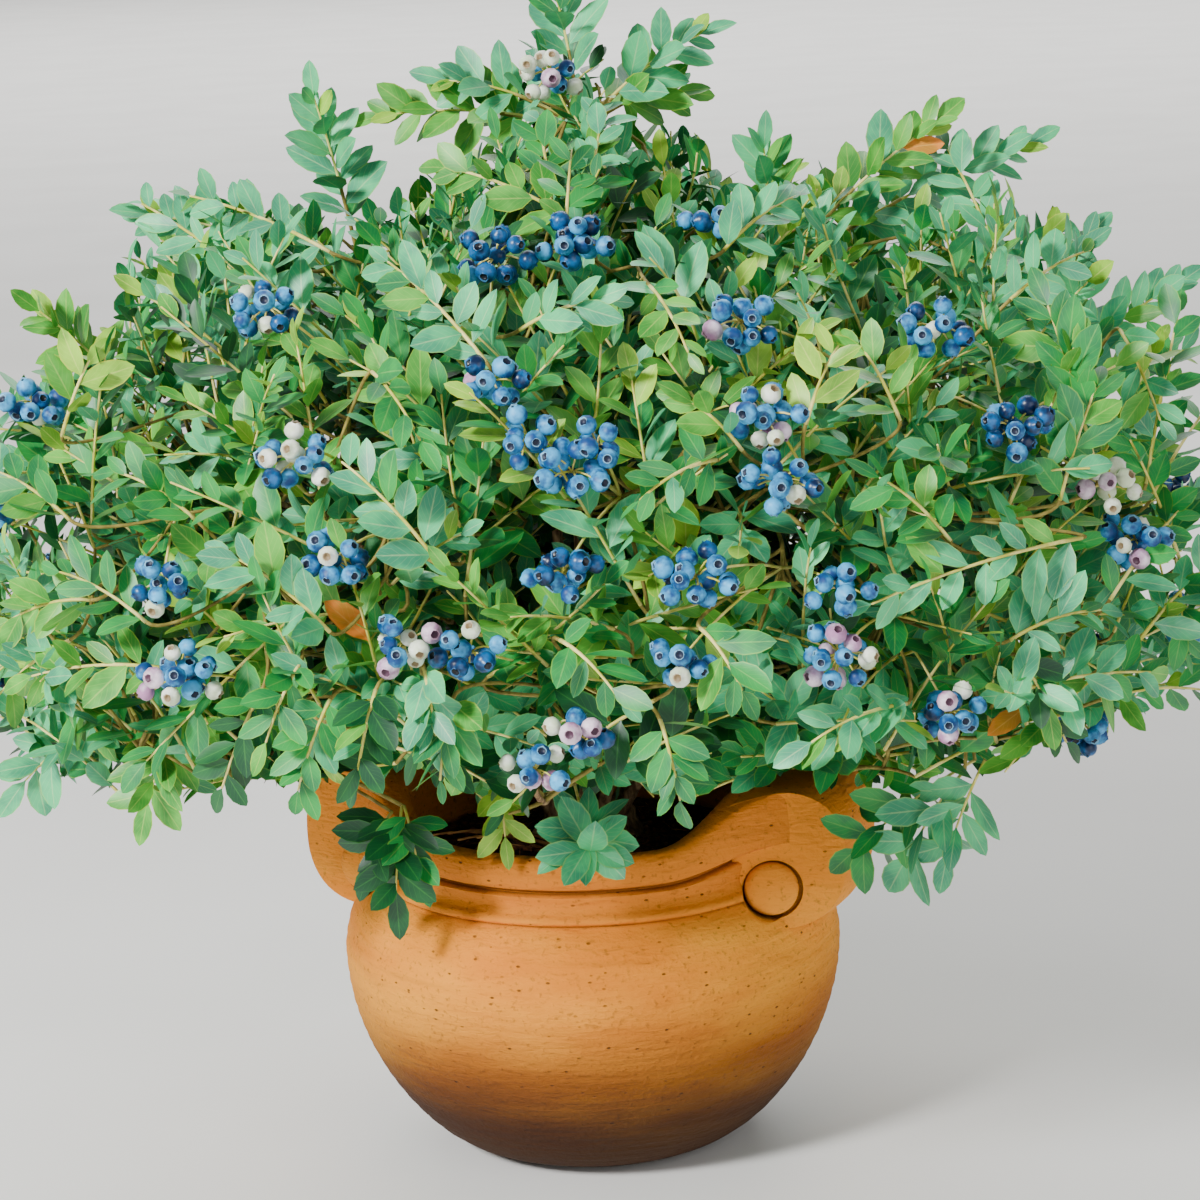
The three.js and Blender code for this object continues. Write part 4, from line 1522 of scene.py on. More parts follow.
@dataclass
class BerryForm:
    """One berry: a slightly flattened ball with its crown of sepals round a sunk eye."""

    radius: float = BERRY_R
    sides: int = 10
    rings: int = 7
    flat: float = 0.88

    def build(self) -> tuple[Array, list, list]:
        """Models the berry once: a ball whose top is inset, sunk and drawn up into sepals.

        Returns:
            Its corners, with the blossom end up, its faces, and for each corner of each face
            its place on the skin.
        """
        deselect()
        size = {"segments": self.sides, "ring_count": self.rings, "radius": self.radius * MM}
        bpy.ops.mesh.primitive_uv_sphere_add(**size)
        ball = bpy.context.object
        only(ball)
        edit("FACE")
        bpy.ops.transform.resize(value=(1, 1, self.flat), center_override=(0, 0, 0))
        bpy.ops.mesh.select_all(action="DESELECT")
        bpy.ops.object.mode_set(mode="OBJECT")
        limit = self.radius * self.flat * 0.80 * MM
        for face in ball.data.polygons:
            face.select = face.center.z > limit
        bpy.ops.object.mode_set(mode="EDIT")
        bpy.ops.mesh.select_mode(type="FACE")
        bpy.ops.mesh.delete(type="FACE")
        bpy.ops.mesh.select_mode(type="EDGE")
        bpy.ops.mesh.select_all(action="SELECT")
        bpy.ops.mesh.region_to_loop()
        # the loop's own radius counts as one: up and out to the sepals' rim, then down into the eye
        draw_up([(1.0, 0.0), (1.02, 1.1), (1.02 * 0.62, 1.1 - 2.4)], ring=True)
        bpy.ops.mesh.edge_face_add()
        close_up()
        points = corners(ball)
        a = np.arctan2(points[:, 1], points[:, 0])
        r = np.hypot(points[:, 0], points[:, 1])
        rim = points[:, 2] > points[:, 2].max() - 0.05
        floor = (r < r[rim].min() - 0.3) & (points[:, 2] > 0)
        notch = np.cos(a * self.sides / 2) < 0
        points[rim & notch, 2] -= 0.9
        # how far each corner lies towards the eye: skin, then sepals, then the sunk eye
        share = np.where(floor, 1.0, np.where(rim, 0.76, 0.4 * (points[:, 2] > 0)))
        faces = [tuple(face.vertices) for face in ball.data.polygons]
        bpy.data.objects.remove(ball)
        return points, faces, [(0.0, float(share[c])) for face in faces for c in face]


@dataclass
class Cluster:
    """A hanging cluster of berries on one stalk."""

    centre: Array
    outward: Array
    count: int
    pale: float
    dark: float
    packing: float = 0.52

    def reach(self) -> float:
        """The radius of the ball that the berries fill."""
        return BERRY_R * (self.count / self.packing) ** (1 / 3)


class BerryBook:
    """Every berry of the crown, kept until each ripeness is made into one piece."""

    # the least distance between the middles of two berries, and how often a place is tried
    APART = 11.2
    TRIES = 900

    def __init__(self) -> None:
        """Starts with no berry."""
        self.form = BerryForm()
        self.rows: dict[Ripeness, list] = {kind: [] for kind in Ripeness}
        self.stalks: list[Tube] = []

    def hang(self, cluster: Cluster, root: Array, random: Generator) -> None:
        """Hangs one cluster: berries packed side by side round the end of a stalk.

        Args:
            cluster: the cluster.
            root: where its stalk leaves the wood.
            random: the seeded draw.
        """
        reach = cluster.reach()
        squash = vec(1.12, 1.12, 0.86)
        spots: list[Array] = []
        tries = 0
        while len(spots) < cluster.count and tries < self.TRIES:
            tries += 1
            p = unit(random.normal(size=3)) * reach * random.random() ** 0.45 * squash
            if all(np.linalg.norm(p - q) > self.APART for q in spots):
                spots.append(p)
        heart = cluster.centre - cluster.outward * reach * 0.5
        bend = Bend(root, (root + heart) / 2 + vec(0, 0, 8), heart)
        self.stalks.append(Tube(bend, 1.0, 0.7, 5, 5))
        for p in spots:
            draw = random.random()
            kind = Ripeness.RIPE
            if draw < cluster.pale:
                kind = Ripeness.GREEN if random.random() < 0.62 else Ripeness.BLUSH
            elif draw < cluster.pale + cluster.dark:
                kind = Ripeness.DARK
            at = cluster.centre + p
            facing = p / max(np.linalg.norm(p), 1) + 0.55 * cluster.outward
            facing = unit(facing + 0.35 * random.normal(size=3))
            size = random.uniform(0.86, 1.08) * (0.92 if kind is Ripeness.GREEN else 1.0)
            self.rows[kind].append((at, facing, size))
            base = at - facing * self.form.radius * 0.8
            self.stalks.append(Tube(Bend(heart, (heart + base) / 2 + vec(0, 0, 3), base), 0.6, 0.55, 3, 4))

    def build(self) -> list[tuple[Ripeness, Object]]:
        """Makes one joined piece of each ripeness.

        Returns:
            Each ripeness with its piece.
        """
        points, faces, skin = self.form.build()
        made = []
        for kind, rows in self.rows.items():
            at = np.array([row[0] for row in rows])
            axis = unit(np.array([row[1] for row in rows]))
            size = np.array([row[2] for row in rows])
            across = unit(np.cross(axis, vec(0.31, 0.17, 0.94)))
            over = np.cross(axis, across)
            turned = (
                points[None, :, 0, None] * across[:, None]
                + points[None, :, 1, None] * over[:, None]
                + points[None, :, 2, None] * axis[:, None]
            )
            block = at[:, None] + turned * size[:, None, None]
            made.append((kind, joined_copies(f"berries_{kind.value}", block, faces, "skin", skin)))
        return made


# ---------- the crown
# tips of the leading shoots, which stand clear of the dome
LEADERS = (
    (0, -10, 757), (90, 0, 727), (78, 20, 690), (-70, -10, 705), (-112, 0, 684), (-155, -10, 697),
    (-264, -20, 629), (-330, -60, 575), (127, -40, 657), (238, -10, 667), (300, 20, 648), (342, 40, 585),
    (392, 0, 556), (313, -150, 580), (410, 10, 300), (0, 390, 300), (-200, 330, 300), (220, 320, 560),
)
# the tint of each of them, by its place in TINTS
LEADER_TINTS = (0, 0, 2, 0, 2, 0, 0, 2, 0, 2, 0, 0, 0, 0, 0, 0, 1, 0)

# the crown's outline from the front, apart from its free sprays: place across and down the frame
CREST = np.array((
    (-200, 330), (0, 375), (60, 355), (98, 340), (106, 275), (140, 215), (180, 190), (230, 184), (272, 200),
    (350, 202), (400, 178), (450, 148), (480, 122), (496, 100), (510, 48), (530, 18), (560, -4), (600, 18),
    (612, 74), (640, 94), (680, 108), (712, 140), (724, 172), (745, 165), (790, 148), (850, 168), (865, 208),
    (885, 188), (902, 150), (950, 138), (1000, 154), (1030, 192), (1065, 210), (1090, 238), (1110, 285),
    (1128, 335), (1160, 325), (1200, 305), (1400, 305),
))
HEM = np.array((
    (-200, 770), (0, 800), (50, 790), (105, 802), (140, 826), (172, 826), (190, 792), (300, 790), (388, 788),
    (420, 780), (468, 800), (480, 828), (502, 856), (526, 822), (546, 806), (600, 796), (640, 792), (655, 815),
    (684, 826), (702, 792), (735, 788), (770, 784), (800, 772), (828, 796), (846, 814), (860, 796), (985, 784),
    (1020, 778), (1040, 752), (1090, 742), (1130, 750), (1160, 738), (1200, 700), (1400, 690),
))

# sprays that hang out over the rim: tip across and down, root across and down, depth of each,
# bare share, leaves, their length, tint and how far they open
HANGING_SPRAYS = (
    (590, 852, 570, 770, -184, -130, 0.78, 15, 34.0, 0, 1.35),
    (396, 890, 402, 806, -150, -128, 0.15, 13, 30.0, 4, 1.05),
    (372, 862, 392, 812, -140, -126, 0.15, 9, 30.0, 4, 1.15),
    (418, 866, 404, 806, -146, -128, 0.15, 8, 27.0, 1, 1.1),
    (858, 848, 975, 760, -158, -190, 0.35, 11, 34.0, 1, 0.95),
    (908, 856, 965, 770, -175, -195, 0.25, 11, 34.0, 0, 0.95),
    (948, 852, 985, 760, -190, -205, 0.25, 10, 33.0, 0, 0.95),
    (26, 780, 120, 705, -110, -110, 0.15, 15, 32.0, 0, 0.9),
    (148, 800, 186, 715, -200, -180, 0.15, 15, 30.0, 2, 0.95),
    (505, 836, 500, 780, -135, -114, 0.2, 7, 25.0, 3, 0.8),
)

# sprays that arch over the front of the dome: tip across and down, root across and down,
# leaves, their length and tint
FRONT_SPRAYS = (
    (142, 204, 262, 292, 12, 30.0, 0), (190, 196, 330, 252, 11, 29.0, 0), (388, 262, 486, 362, 11, 31.0, 0),
    (446, 168, 566, 216, 9, 29.0, 2), (92, 356, 62, 436, 6, 34.0, 3), (232, 556, 330, 632, 9, 33.0, 0),
    (32, 676, 162, 668, 9, 32.0, 2), (342, 462, 436, 560, 10, 32.0, 0), (640, 500, 716, 460, 7, 30.0, 1),
    (838, 346, 806, 424, 5, 31.0, 3), (682, 398, 742, 450, 6, 29.0, 2), (872, 604, 1082, 538, 14, 34.0, 0),
    (1150, 672, 1010, 694, 10, 33.0, 0), (1186, 652, 1176, 560, 7, 31.0, 1), (812, 742, 906, 704, 7, 35.0, 0),
    (436, 742, 424, 668, 6, 32.0, 0), (1048, 306, 1098, 474, 11, 38.0, 1), (1178, 314, 1146, 484, 11, 38.0, 1),
    (948, 150, 1000, 262, 10, 31.0, 0), (620, 700, 560, 640, 7, 31.0, 1), (742, 690, 700, 628, 6, 32.0, 1),
    (116, 472, 196, 520, 8, 29.0, 1), (60, 572, 146, 622, 8, 30.0, 1), (796, 196, 724, 250, 9, 30.0, 0),
    (608, 300, 520, 330, 8, 31.0, 0), (880, 478, 950, 540, 8, 31.0, 1), (1090, 250, 1010, 300, 9, 30.0, 0),
    (420, 440, 372, 372, 7, 31.0, 1), (266, 742, 300, 664, 7, 29.0, 1), (688, 352, 650, 286, 7, 29.0, 2),
    (860, 346, 900, 420, 5, 30.0, 2), (1130, 440, 1180, 560, 9, 33.0, 1), (1096, 388, 1060, 500, 8, 33.0, 1),
    (1160, 420, 1120, 330, 7, 30.0, 0), (1190, 500, 1110, 600, 9, 31.0, 1), (1214, 400, 1150, 500, 8, 32.0, 1),
    (1216, 560, 1140, 640, 8, 32.0, 0), (1204, 690, 1100, 700, 8, 32.0, 1), (1100, 610, 1010, 640, 8, 31.0, 0),
    (-8, 470, 70, 520, 8, 31.0, 1), (-6, 700, 70, 640, 8, 31.0, 0), (10, 620, 90, 600, 7, 30.0, 2),
    (222, 788, 262, 690, 9, 29.0, 4), (298, 790, 330, 700, 9, 29.0, 1), (356, 782, 376, 690, 8, 29.0, 4),
    (538, 116, 552, 206, 9, 28.0, 1), (604, 112, 588, 204, 9, 28.0, 0), (572, 150, 566, 226, 8, 28.0, 1),
    (440, 780, 452, 700, 8, 29.0, 1), (680, 800, 660, 720, 8, 30.0, 1), (1066, 742, 1020, 660, 8, 30.0, 4),
)

# single leaves that have turned, seen from the front: place across and down the frame
TURNED_LEAVES = ((355, 628), (1010, 708), (934, 142))

# clusters on the front: place across and down the frame, berries, share pale, share dark
FRONT_CLUSTERS = (
    (550, 74, 12, 0.75, 0.0), (575, 245, 14, 0.0, 0.35), (495, 258, 14, 0.0, 0.75), (709, 222, 5, 0.0, 0.5),
    (740, 322, 13, 0.15, 0.3), (938, 330, 12, 0.05, 0.2), (268, 308, 14, 0.12, 0.15), (32, 402, 10, 0.1, 0.1),
    (492, 382, 11, 0.1, 0.1), (528, 440, 12, 0.0, 0.15), (572, 472, 10, 0.0, 0.2), (597, 448, 8, 0.1, 0.1),
    (765, 415, 15, 0.3, 0.05), (780, 482, 13, 0.1, 0.1), (1015, 430, 14, 0.0, 0.9), (1105, 488, 9, 0.6, 0.0),
    (1135, 540, 16, 0.3, 0.05), (298, 460, 15, 0.4, 0.1), (334, 562, 12, 0.05, 0.2), (163, 585, 10, 0.1, 0.3),
    (563, 573, 11, 0.0, 0.2), (697, 577, 13, 0.0, 0.5), (840, 588, 8, 0.0, 0.3), (180, 677, 17, 0.35, 0.0),
    (404, 645, 12, 0.45, 0.1), (470, 652, 11, 0.05, 0.3), (680, 660, 9, 0.1, 0.0), (840, 655, 18, 0.35, 0.0),
    (948, 712, 14, 0.4, 0.1), (535, 770, 10, 0.35, 0.1), (568, 722, 4, 0.5, 0.0), (598, 750, 3, 0.0, 0.6),
)


@dataclass
class Crown:
    """The bush above the soil: woody foot, canes, branches, leafy shoots and fruit."""

    studio: Studio
    shoots: int = 1050
    inner: int = 500
    core: int = 260
    leaf: float = 31.5
    pitch: float = 7.4
    # clusters off the front: tries on the spiral, how far down it runs, and the least gaps to
    # other clusters and to the pot
    spiral: int = 96
    spiral_fall: float = 1.55
    fruit_apart: float = 95.0
    fruit_off_pot: float = 45.0
    # places in the frame that they leave bare: below a line, and this near under the crest
    fruit_lowest_px: float = 740.0
    fruit_crest_px: float = 80.0
    # an arching spray is moved along its sight lines when its ends lie farther apart in depth
    spray_depth: float = 70.0
    # a turned leaf may stand this far off its place in the frame before that counts against it
    turned_px: float = 14.0
    seed: int = 2026

    def __post_init__(self) -> None:
        """Starts the crown's books."""
        self.dome = Dome()
        self.ears = Ears()
        self.masses = lay_out_masses()
        self.leaves = LeafBook()
        self.berries = BerryBook()
        self.clusters: list[Cluster] = []
        self.canes: list[Tube] = []
        self.twigs: list[Tube] = []
        self.green: list[Tube] = []
        self.random = np.random.default_rng(self.seed)

    def nearest(self, p: Array) -> Mass:
        """The mass whose heart lies nearest to a point."""
        return min(self.masses, key=lambda mass: float(np.sum((mass.heart - p) ** 2)))

    def branch_out(self) -> None:
        """Grows each mass's stem on from its cane and divides it into branches."""
        for mass in self.masses:
            ahead = mass.cane.heading(1.0)
            tip = mass.cane.at(1.0)
            outward = unit(mass.heart - vec(0, 0, self.dome.z - 40))
            mass.stem = Bend(tip, tip + ahead * 34, mass.heart + outward * 24)
            self.canes.append(Tube(mass.cane, mass.radius, 2.6, 26, 9, 0.10))
            self.canes.append(Tube(mass.stem, 2.6, 1.7, 8, 7, 0.06))
            mass.branches = [mass.stem]
            for i in range(9):
                heading = unit(spiral(i, 9, self.random.random() * 0.5) + 0.75 * outward)
                root = mass.stem.at(0.15 + 0.75 * (i + 0.5) / 9)
                reach = self.reach_along(root, heading, mass) * self.random.uniform(0.6, 0.8)
                if reach > 24:
                    end = root + heading * reach
                    lift = self.random.normal(size=3) * 6 + vec(0, 0, 8)
                    branch = Bend(root, (root + end) / 2 + lift, end)
                    mass.branches.append(branch)
                    self.twigs.append(Tube(branch, 1.7, 1.0, 5, 5))

    def reach_along(self, start: Array, heading: Array, mass: Mass) -> float:
        """How far a branch may run inside its own mass.

        Args:
            start: where it leaves the stem.
            heading: its direction.
            mass: its mass.

        Returns:
            The reach.
        """
        reach = 0.0
        for r in range(20, 200, 10):
            p = start + heading * r
            inside = self.dome.level(p, -12) < 1 and self.dome.above_skirt(p) and self.nearest(p) is mass
            inside = inside and self.in_outline(p[None], 8)
            if not inside or not self.dome.clear_of_pot(p[None], self.ears, 7):
                break
            reach = float(r)
        return reach

    def place_clusters(self) -> None:
        """Finds the places of the clusters: those on the front, then the others by an even spiral."""
        eye, _ = self.studio.ray(600, 600)
        for across, down, count, pale, dark in FRONT_CLUSTERS:
            at = self.studio.on_dome(across, down, self.dome, 4)
            self.clusters.append(Cluster(at, unit(eye - at), count, pale, dark))
        for i in range(self.spiral):
            heading = spiral(i, self.spiral, fall=self.spiral_fall) * (1, 1, 0.8)
            at = heading * float(self.dome.reach(heading)) * 0.97 + vec(0, 0, self.dome.z)
            outward = self.dome.outward(at)
            spaced = all(np.linalg.norm(at - c.centre) > self.fruit_apart for c in self.clusters)
            across, down = self.studio.seen(at[None])[0]
            behind = float(np.dot(outward, unit(eye - at))) < -0.05
            crest = np.interp(across, CREST[:, 0], CREST[:, 1])
            shown = down > self.fruit_lowest_px or down < crest + self.fruit_crest_px
            wanted = (behind or not 0 < across < self.studio.frame_px) and spaced and not shown
            if wanted and self.dome.clear_of_pot(at[None], self.ears, self.fruit_off_pot):
                count = int(self.random.integers(7, 16))
                pale = self.random.choice((0.0, 0.1, 0.35))
                dark = self.random.choice((0.1, 0.3, 0.7))
                self.clusters.append(Cluster(at, outward, count, pale, dark))

    def free_of_fruit(self, points: Array) -> bool:
        """True when the points leave every cluster in view from outside.

        Args:
            points: points of a leaf.

        Returns:
            Whether no point lies in or in front of a cluster.
        """
        off = points[:, None] - self.fruit_at[None]
        ahead = np.clip(np.einsum("ijk,jk->ij", off, self.fruit_out), 0, 95)
        gap = np.linalg.norm(off - ahead[:, :, None] * self.fruit_out[None], axis=2)
        return bool(np.all(gap > self.fruit_r[None] * 0.86 - 0.10 * ahead))

    def in_outline(self, points: Array, within: float = 0.0) -> bool:
        """Tells whether points lie between the crest and the hem, as seen from the front.

        Args:
            points: the points.
            within: how far inside both lines they must lie.

        Returns:
            True when all of them do.
        """
        place = self.studio.seen(points)
        slack = self.random.uniform(-7, 7)
        high = np.interp(place[:, 0], CREST[:, 0], CREST[:, 1]) + slack + within
        low = np.interp(place[:, 0], HEM[:, 0], HEM[:, 1]) + slack - within
        return bool(np.all((place[:, 1] > high) & (place[:, 1] < low)))

    def leaf_facing(self, root: Array, along: Array, side: Array, free: bool) -> Array:
        """The way a blade faces: out of the crown and up, as in the frame's own rule.

        Args:
            root: the leaf's root.
            along: its direction.
            side: the side of the shoot that it grows on.
            free: whether it stands clear of the dome, where the blades turn to the light in front.

        Returns:
            The facing direction.
        """
        normal = unit(vec(root[0], root[1], root[2] - 0.7 * self.dome.z))
        normal = normal + vec(0, 0, 0.55) - 0.35 * side + self.random.normal(size=3) * 0.28
        if free and root[1] < 100:
            normal = normal * 0.5 + vec(-0.25, -1.3, 0.2)
        normal = square_to(normal, along)
        return unit(normal) if np.dot(normal, normal) > 0.01 else vec(along[1], -along[0], 0.3)

    def leafy(
        self, bend: Bend, tint: int, start: float, size: float, free: bool, close: float = 1.0
    ) -> int:
        """Sets leaves round a shoot in a spiral, smaller and closer to its tip.

        Args:
            bend: the shoot.
            tint: the spray's tint.
            start: the share of the shoot that is bare.
            size: the leaves' size, one for the usual.
            free: whether the shoot may leave the dome.
            close: the leaves' spacing, one for the usual.

        Returns:
            How many leaves found room.
        """
        before = len(self.leaves.rows)
        count = max(3, int(bend.length() * (1 - start) / (self.pitch * size * close)))
        spin = self.random.random() * math.tau
        for i in range(count + 1):
            t = start + (1 - start) * i / count
            tip = i / count
            ahead = bend.heading(t)
            flat = unit(np.cross(ahead, vec(0.13, 0.21, 1)))
            over = np.cross(ahead, flat)
            length = self.leaf * size * self.random.uniform(0.82, 1.14) * (1.05 - 0.55 * tip**3)
            open_by = (1.05 - 0.55 * tip**2) * self.random.uniform(0.8, 1.15)
            if i == count:
                open_by, length = 0.15, self.leaf * size * 0.72
            for again in range(4):
                a = spin + i * GOLDEN + again * 1.1
                side = flat * math.cos(a) + over * math.sin(a)
                along = unit(ahead * math.cos(open_by) + side * math.sin(open_by) + vec(0, 0, 0.1))
                root = bend.at(t)
                facing = self.leaf_facing(root, along, side, free)
                across = np.cross(along, facing) * length * 0.2
                points = np.array([
                    root + along * length,
                    root + along * length * 0.5 + across,
                    root + along * length * 0.5 - across,
                ])
                inside = free
                if not free:
                    held = (self.dome.level(points, 22) < 1) & self.dome.above_skirt(points)
                    inside = bool(np.all(held)) and self.in_outline(points)
                if inside and self.dome.clear_of_pot(points, self.ears, 3) and self.free_of_fruit(points):
                    shade = tint
                    draw = self.random.random()
                    if tip > 0.8 and draw < 0.20 and tint != TINTS.index(Tint.DEEP):
                        shade = TINTS.index(Tint.YOUNG)
                    elif draw < 0.16:
                        shade = int(self.random.choice((0, 1, 2)))
                    self.leaves.add(root, along, facing, length, shade)
                    break
        return len(self.leaves.rows) - before

    def grow_shoot(
        self, tip: Array, heading: Array, length: float, tint: int, size: float
    ) -> None:
        """Grows one leafy shoot to a tip, on a twig from the nearest branch of its mass.

        Args:
            tip: where the shoot ends.
            heading: its direction at the tip.
            length: its length.
            tint: the spray's tint.
            size: the leaves' size.
        """
        start = tip - heading * length
        inward = vec(0, 0, self.dome.z) - start
        start = start + unit(inward) * 0.12 * length
        if not self.in_outline(start[None], 16):
            return
        joint = self.nearest(start).joint_near(start)
        sag = self.random.normal(size=3) * 0.05 * length + vec(0, 0, 0.05 * length)
        bend = Bend(start, (start + tip) / 2 + sag, tip)
        if self.leafy(bend, tint, 0.06, size, False) < 5:
            return
        carrier = float(np.linalg.norm(start - joint))
        if carrier > 6:
            knee = start - bend.heading(0.0) * carrier * 0.4
            if knee[2] < 330 or not self.in_outline(knee[None], 30):
                knee = (start + joint) / 2 + vec(0, 0, 0.06 * carrier)
            self.twigs.append(Tube(Bend(joint, knee, start), 1.2, 1.1, 6, 4))
        self.green.append(Tube(bend, 1.15, 0.6, 5, 4))

    def skin_shoots(self) -> None:
        """Covers the dome with shoots, an even spiral of tips over its skin and a layer within."""
        for layer, count in enumerate((self.shoots, self.inner, self.core)):
            for i in range(count):
                out = spiral(i, count, 0.7 * layer)
                share = self.random.uniform(*((0.88, 1.02), (0.62, 0.86), (0.30, 0.6))[layer])
                tip = out * float(self.dome.reach(out)) * share + vec(0, 0, self.dome.z)
                tip = tip + self.random.normal(size=3) * 9
                low = smooth((330 - tip[2]) / 130)
                lost = not self.dome.above_skirt(tip) or self.random.random() < 0.35 * low
                lost = lost or not self.in_outline(tip[None], 14)
                if lost or not self.dome.clear_of_pot(tip[None], self.ears, 12):
                    continue
                outward = self.dome.outward(tip)
                drift = square_to(self.random.normal(size=3), outward)
                heading = unit(outward * 0.55 + unit(drift) * 0.75 + vec(0, 0, 0.62 - 0.85 * low))
                length = self.random.uniform(70, 125) * (1, 0.85, 0.7)[layer]
                tint = int(self.random.choice(6, p=self.tint_shares(layer, tip)))
                size = self.random.uniform(0.84, 1.12)
                self.grow_shoot(tip, heading, length, tint, size)

    def tint_shares(self, layer: int, tip: Array) -> tuple[float, ...]:
        """How often each tint is dealt at a place.

        Args:
            layer: nought for the outer skin and one within.
            tip: the shoot's tip.

        Returns:
            The share of each tint, in the order of TINTS.
        """
        # the inner layers, and the lower skin, take mostly the darker inner tint, which paints the shade
        # inside and under the crown
        if layer:
            return (0.08, 0.24, 0.08, 0.0, 0.60, 0.0) if layer == 1 else (0.0, 0.08, 0.0, 0.0, 0.92, 0.0)
        if tip[2] < 320:
            return (0.17, 0.40, 0.12, 0.01, 0.30, 0.0)
        return (0.42, 0.29, 0.16, 0.04, 0.09, 0.0)

    def lead_shoots(self) -> None:
        """Grows the leading shoots that stand clear of the dome."""
        for place, tint in zip(LEADERS, LEADER_TINTS):
            tip = vec(*place)
            mass = self.nearest(tip)
            root = mass.stem.at(0.6)
            lift = vec(0, 0, 14 if tip[2] > 300 else 50)
            bend = Bend(root, (root + tip) / 2 + lift, tip)
            self.twigs.append(Tube(Bend(root, bend.at(0.25), bend.at(0.5)), 1.6, 1.2, 6, 5))
            self.green.append(Tube(bend, 1.4, 0.6, 9, 5))
            start = max(0.3, 1 - 130 / bend.length())
            self.leafy(bend, tint, start, 1.1, True, 0.6)

    def front_sprays(self) -> None:
        """Grows the arching sprays whose leaves lie in two open rows to each side of the stem."""
        for across, down, root_across, root_down, count, length, tint in FRONT_SPRAYS:
            tip = self.studio.on_dome(across, down, self.dome, -10)
            root = self.studio.on_dome(root_across, root_down, self.dome, 8)
            apart = tip[1] - root[1]
            spare = apart - float(np.clip(apart, -self.spray_depth, self.spray_depth))
            tip = self.studio.on_plane(across, down, tip[1] - 0.4 * spare)
            root = self.studio.on_plane(root_across, root_down, root[1] + 0.6 * spare)
            eye, _ = self.studio.ray(across, down)
            toward = unit(eye - tip)
            joint = self.nearest(root).joint_near(root)
            bend = Bend(root, (root + tip) / 2 + toward * 14 + vec(0, 0, 8), tip)
            knee = root - bend.heading(0.0) * float(np.linalg.norm(root - joint)) * 0.22
            self.twigs.append(Tube(Bend(joint, knee, root), 1.0, 1.2, 9, 5))
            self.green.append(Tube(bend, 1.3, 0.7, 9, 5))
            for i in range(count + 1):
                t = 0.06 + 0.94 * (i + self.random.uniform(-0.25, 0.25) * (i < count)) / count
                ahead = bend.heading(t)
                side = unit(np.cross(ahead, toward)) * (1 if i % 2 else -1)
                side = unit(side + toward * self.random.uniform(-0.5, 1.3))
                open_by = (0.95 - 0.35 * i / count) * self.random.uniform(0.65, 1.3) * (i < count)
                along = ahead * math.cos(open_by) + side * math.sin(open_by)
                along = unit(along + self.random.normal(size=3) * 0.12)
                facing = toward + vec(0, 0, 0.45) + 0.42 * self.random.normal(size=3)
                facing = unit(square_to(facing, along))
                size = length * self.random.uniform(0.68, 1.12) * (1.0 - 0.3 * (i / count) ** 3)
                at = bend.at(t)
                shade = tint if self.random.random() > 0.22 else int(self.random.choice((0, 1, 2)))
                if self.free_of_fruit(np.array([at + along * size, at + along * size * 0.5])):
                    self.leaves.add(at, along, facing, size, shade)

    def turn_leaves(self) -> None:
        """Turns the foremost outer leaf at each of the listed places to its autumn tint."""
        rows = np.array(self.leaves.rows)
        middle = rows[:, 0:3] + unit(rows[:, 3:6]) * rows[:, 9:10] / 2
        place = self.studio.seen(middle)
        # depth counts for one: a place further off counts for more, and a face turned aside for most
        aside = 300 * (-unit(rows[:, 6:9])[:, 1] < 0.6)
        for spot in TURNED_LEAVES:
            off = np.hypot(*(place - np.array(spot)).T)
            cost = middle[:, 1] + 14 * np.maximum(off - self.turned_px, 0) + aside
            front = int(np.argmin(cost))
            self.leaves.rows[front] = (*self.leaves.rows[front][:10], TINTS.index(Tint.AUTUMN))

    def hang_sprays(self) -> None:
        """Grows the sprays that hang out over the rim and the ears."""
        for row in HANGING_SPRAYS:
            across, down, root_across, root_down, depth, root_depth, *spray = row
            bare, count, length, tint, opening = spray
            tip = self.studio.on_plane(across, down, depth)
            root = self.studio.on_plane(root_across, root_down, root_depth)
            joint = self.nearest(root).joint_near(root)
            self.twigs.append(Tube(Bend(joint, (joint + root) / 2 + vec(0, 0, 6), root), 1.5, 1.1, 5, 5))
            bend = Bend(root, (root + tip) / 2 + vec(0, -6, 10), tip)
            self.green.append(Tube(bend, 1.1, 0.6, 7, 5))
            eye, _ = self.studio.ray(across, down)
            whorled = bare > 0.5
            for i in range(count):
                t = bare + (1 - bare) * (i + 1) / count
                ahead = bend.heading(t)
                over = unit(eye - tip + vec(0, 0, 700))
                if whorled:
                    ahead, over = over, vec(0, 0, 1)
                flat = unit(np.cross(ahead, over))
                over = np.cross(flat, ahead)
                a = i * GOLDEN + self.random.uniform(-0.2, 0.2)
                side = flat * math.cos(a) + over * math.sin(a) * (1.0 if whorled else 0.55)
                open_by = opening * (1.0 if i < count - 1 else 0.1) * self.random.uniform(0.85, 1.1)
                along = unit(ahead * math.cos(open_by) + unit(side) * math.sin(open_by))
                facing = (ahead if whorled else over) + 0.22 * self.random.normal(size=3)
                facing = unit(square_to(facing, along))
                size = length * self.random.uniform(0.85, 1.1)
                self.leaves.add(bend.at(t), along, facing, size, tint)

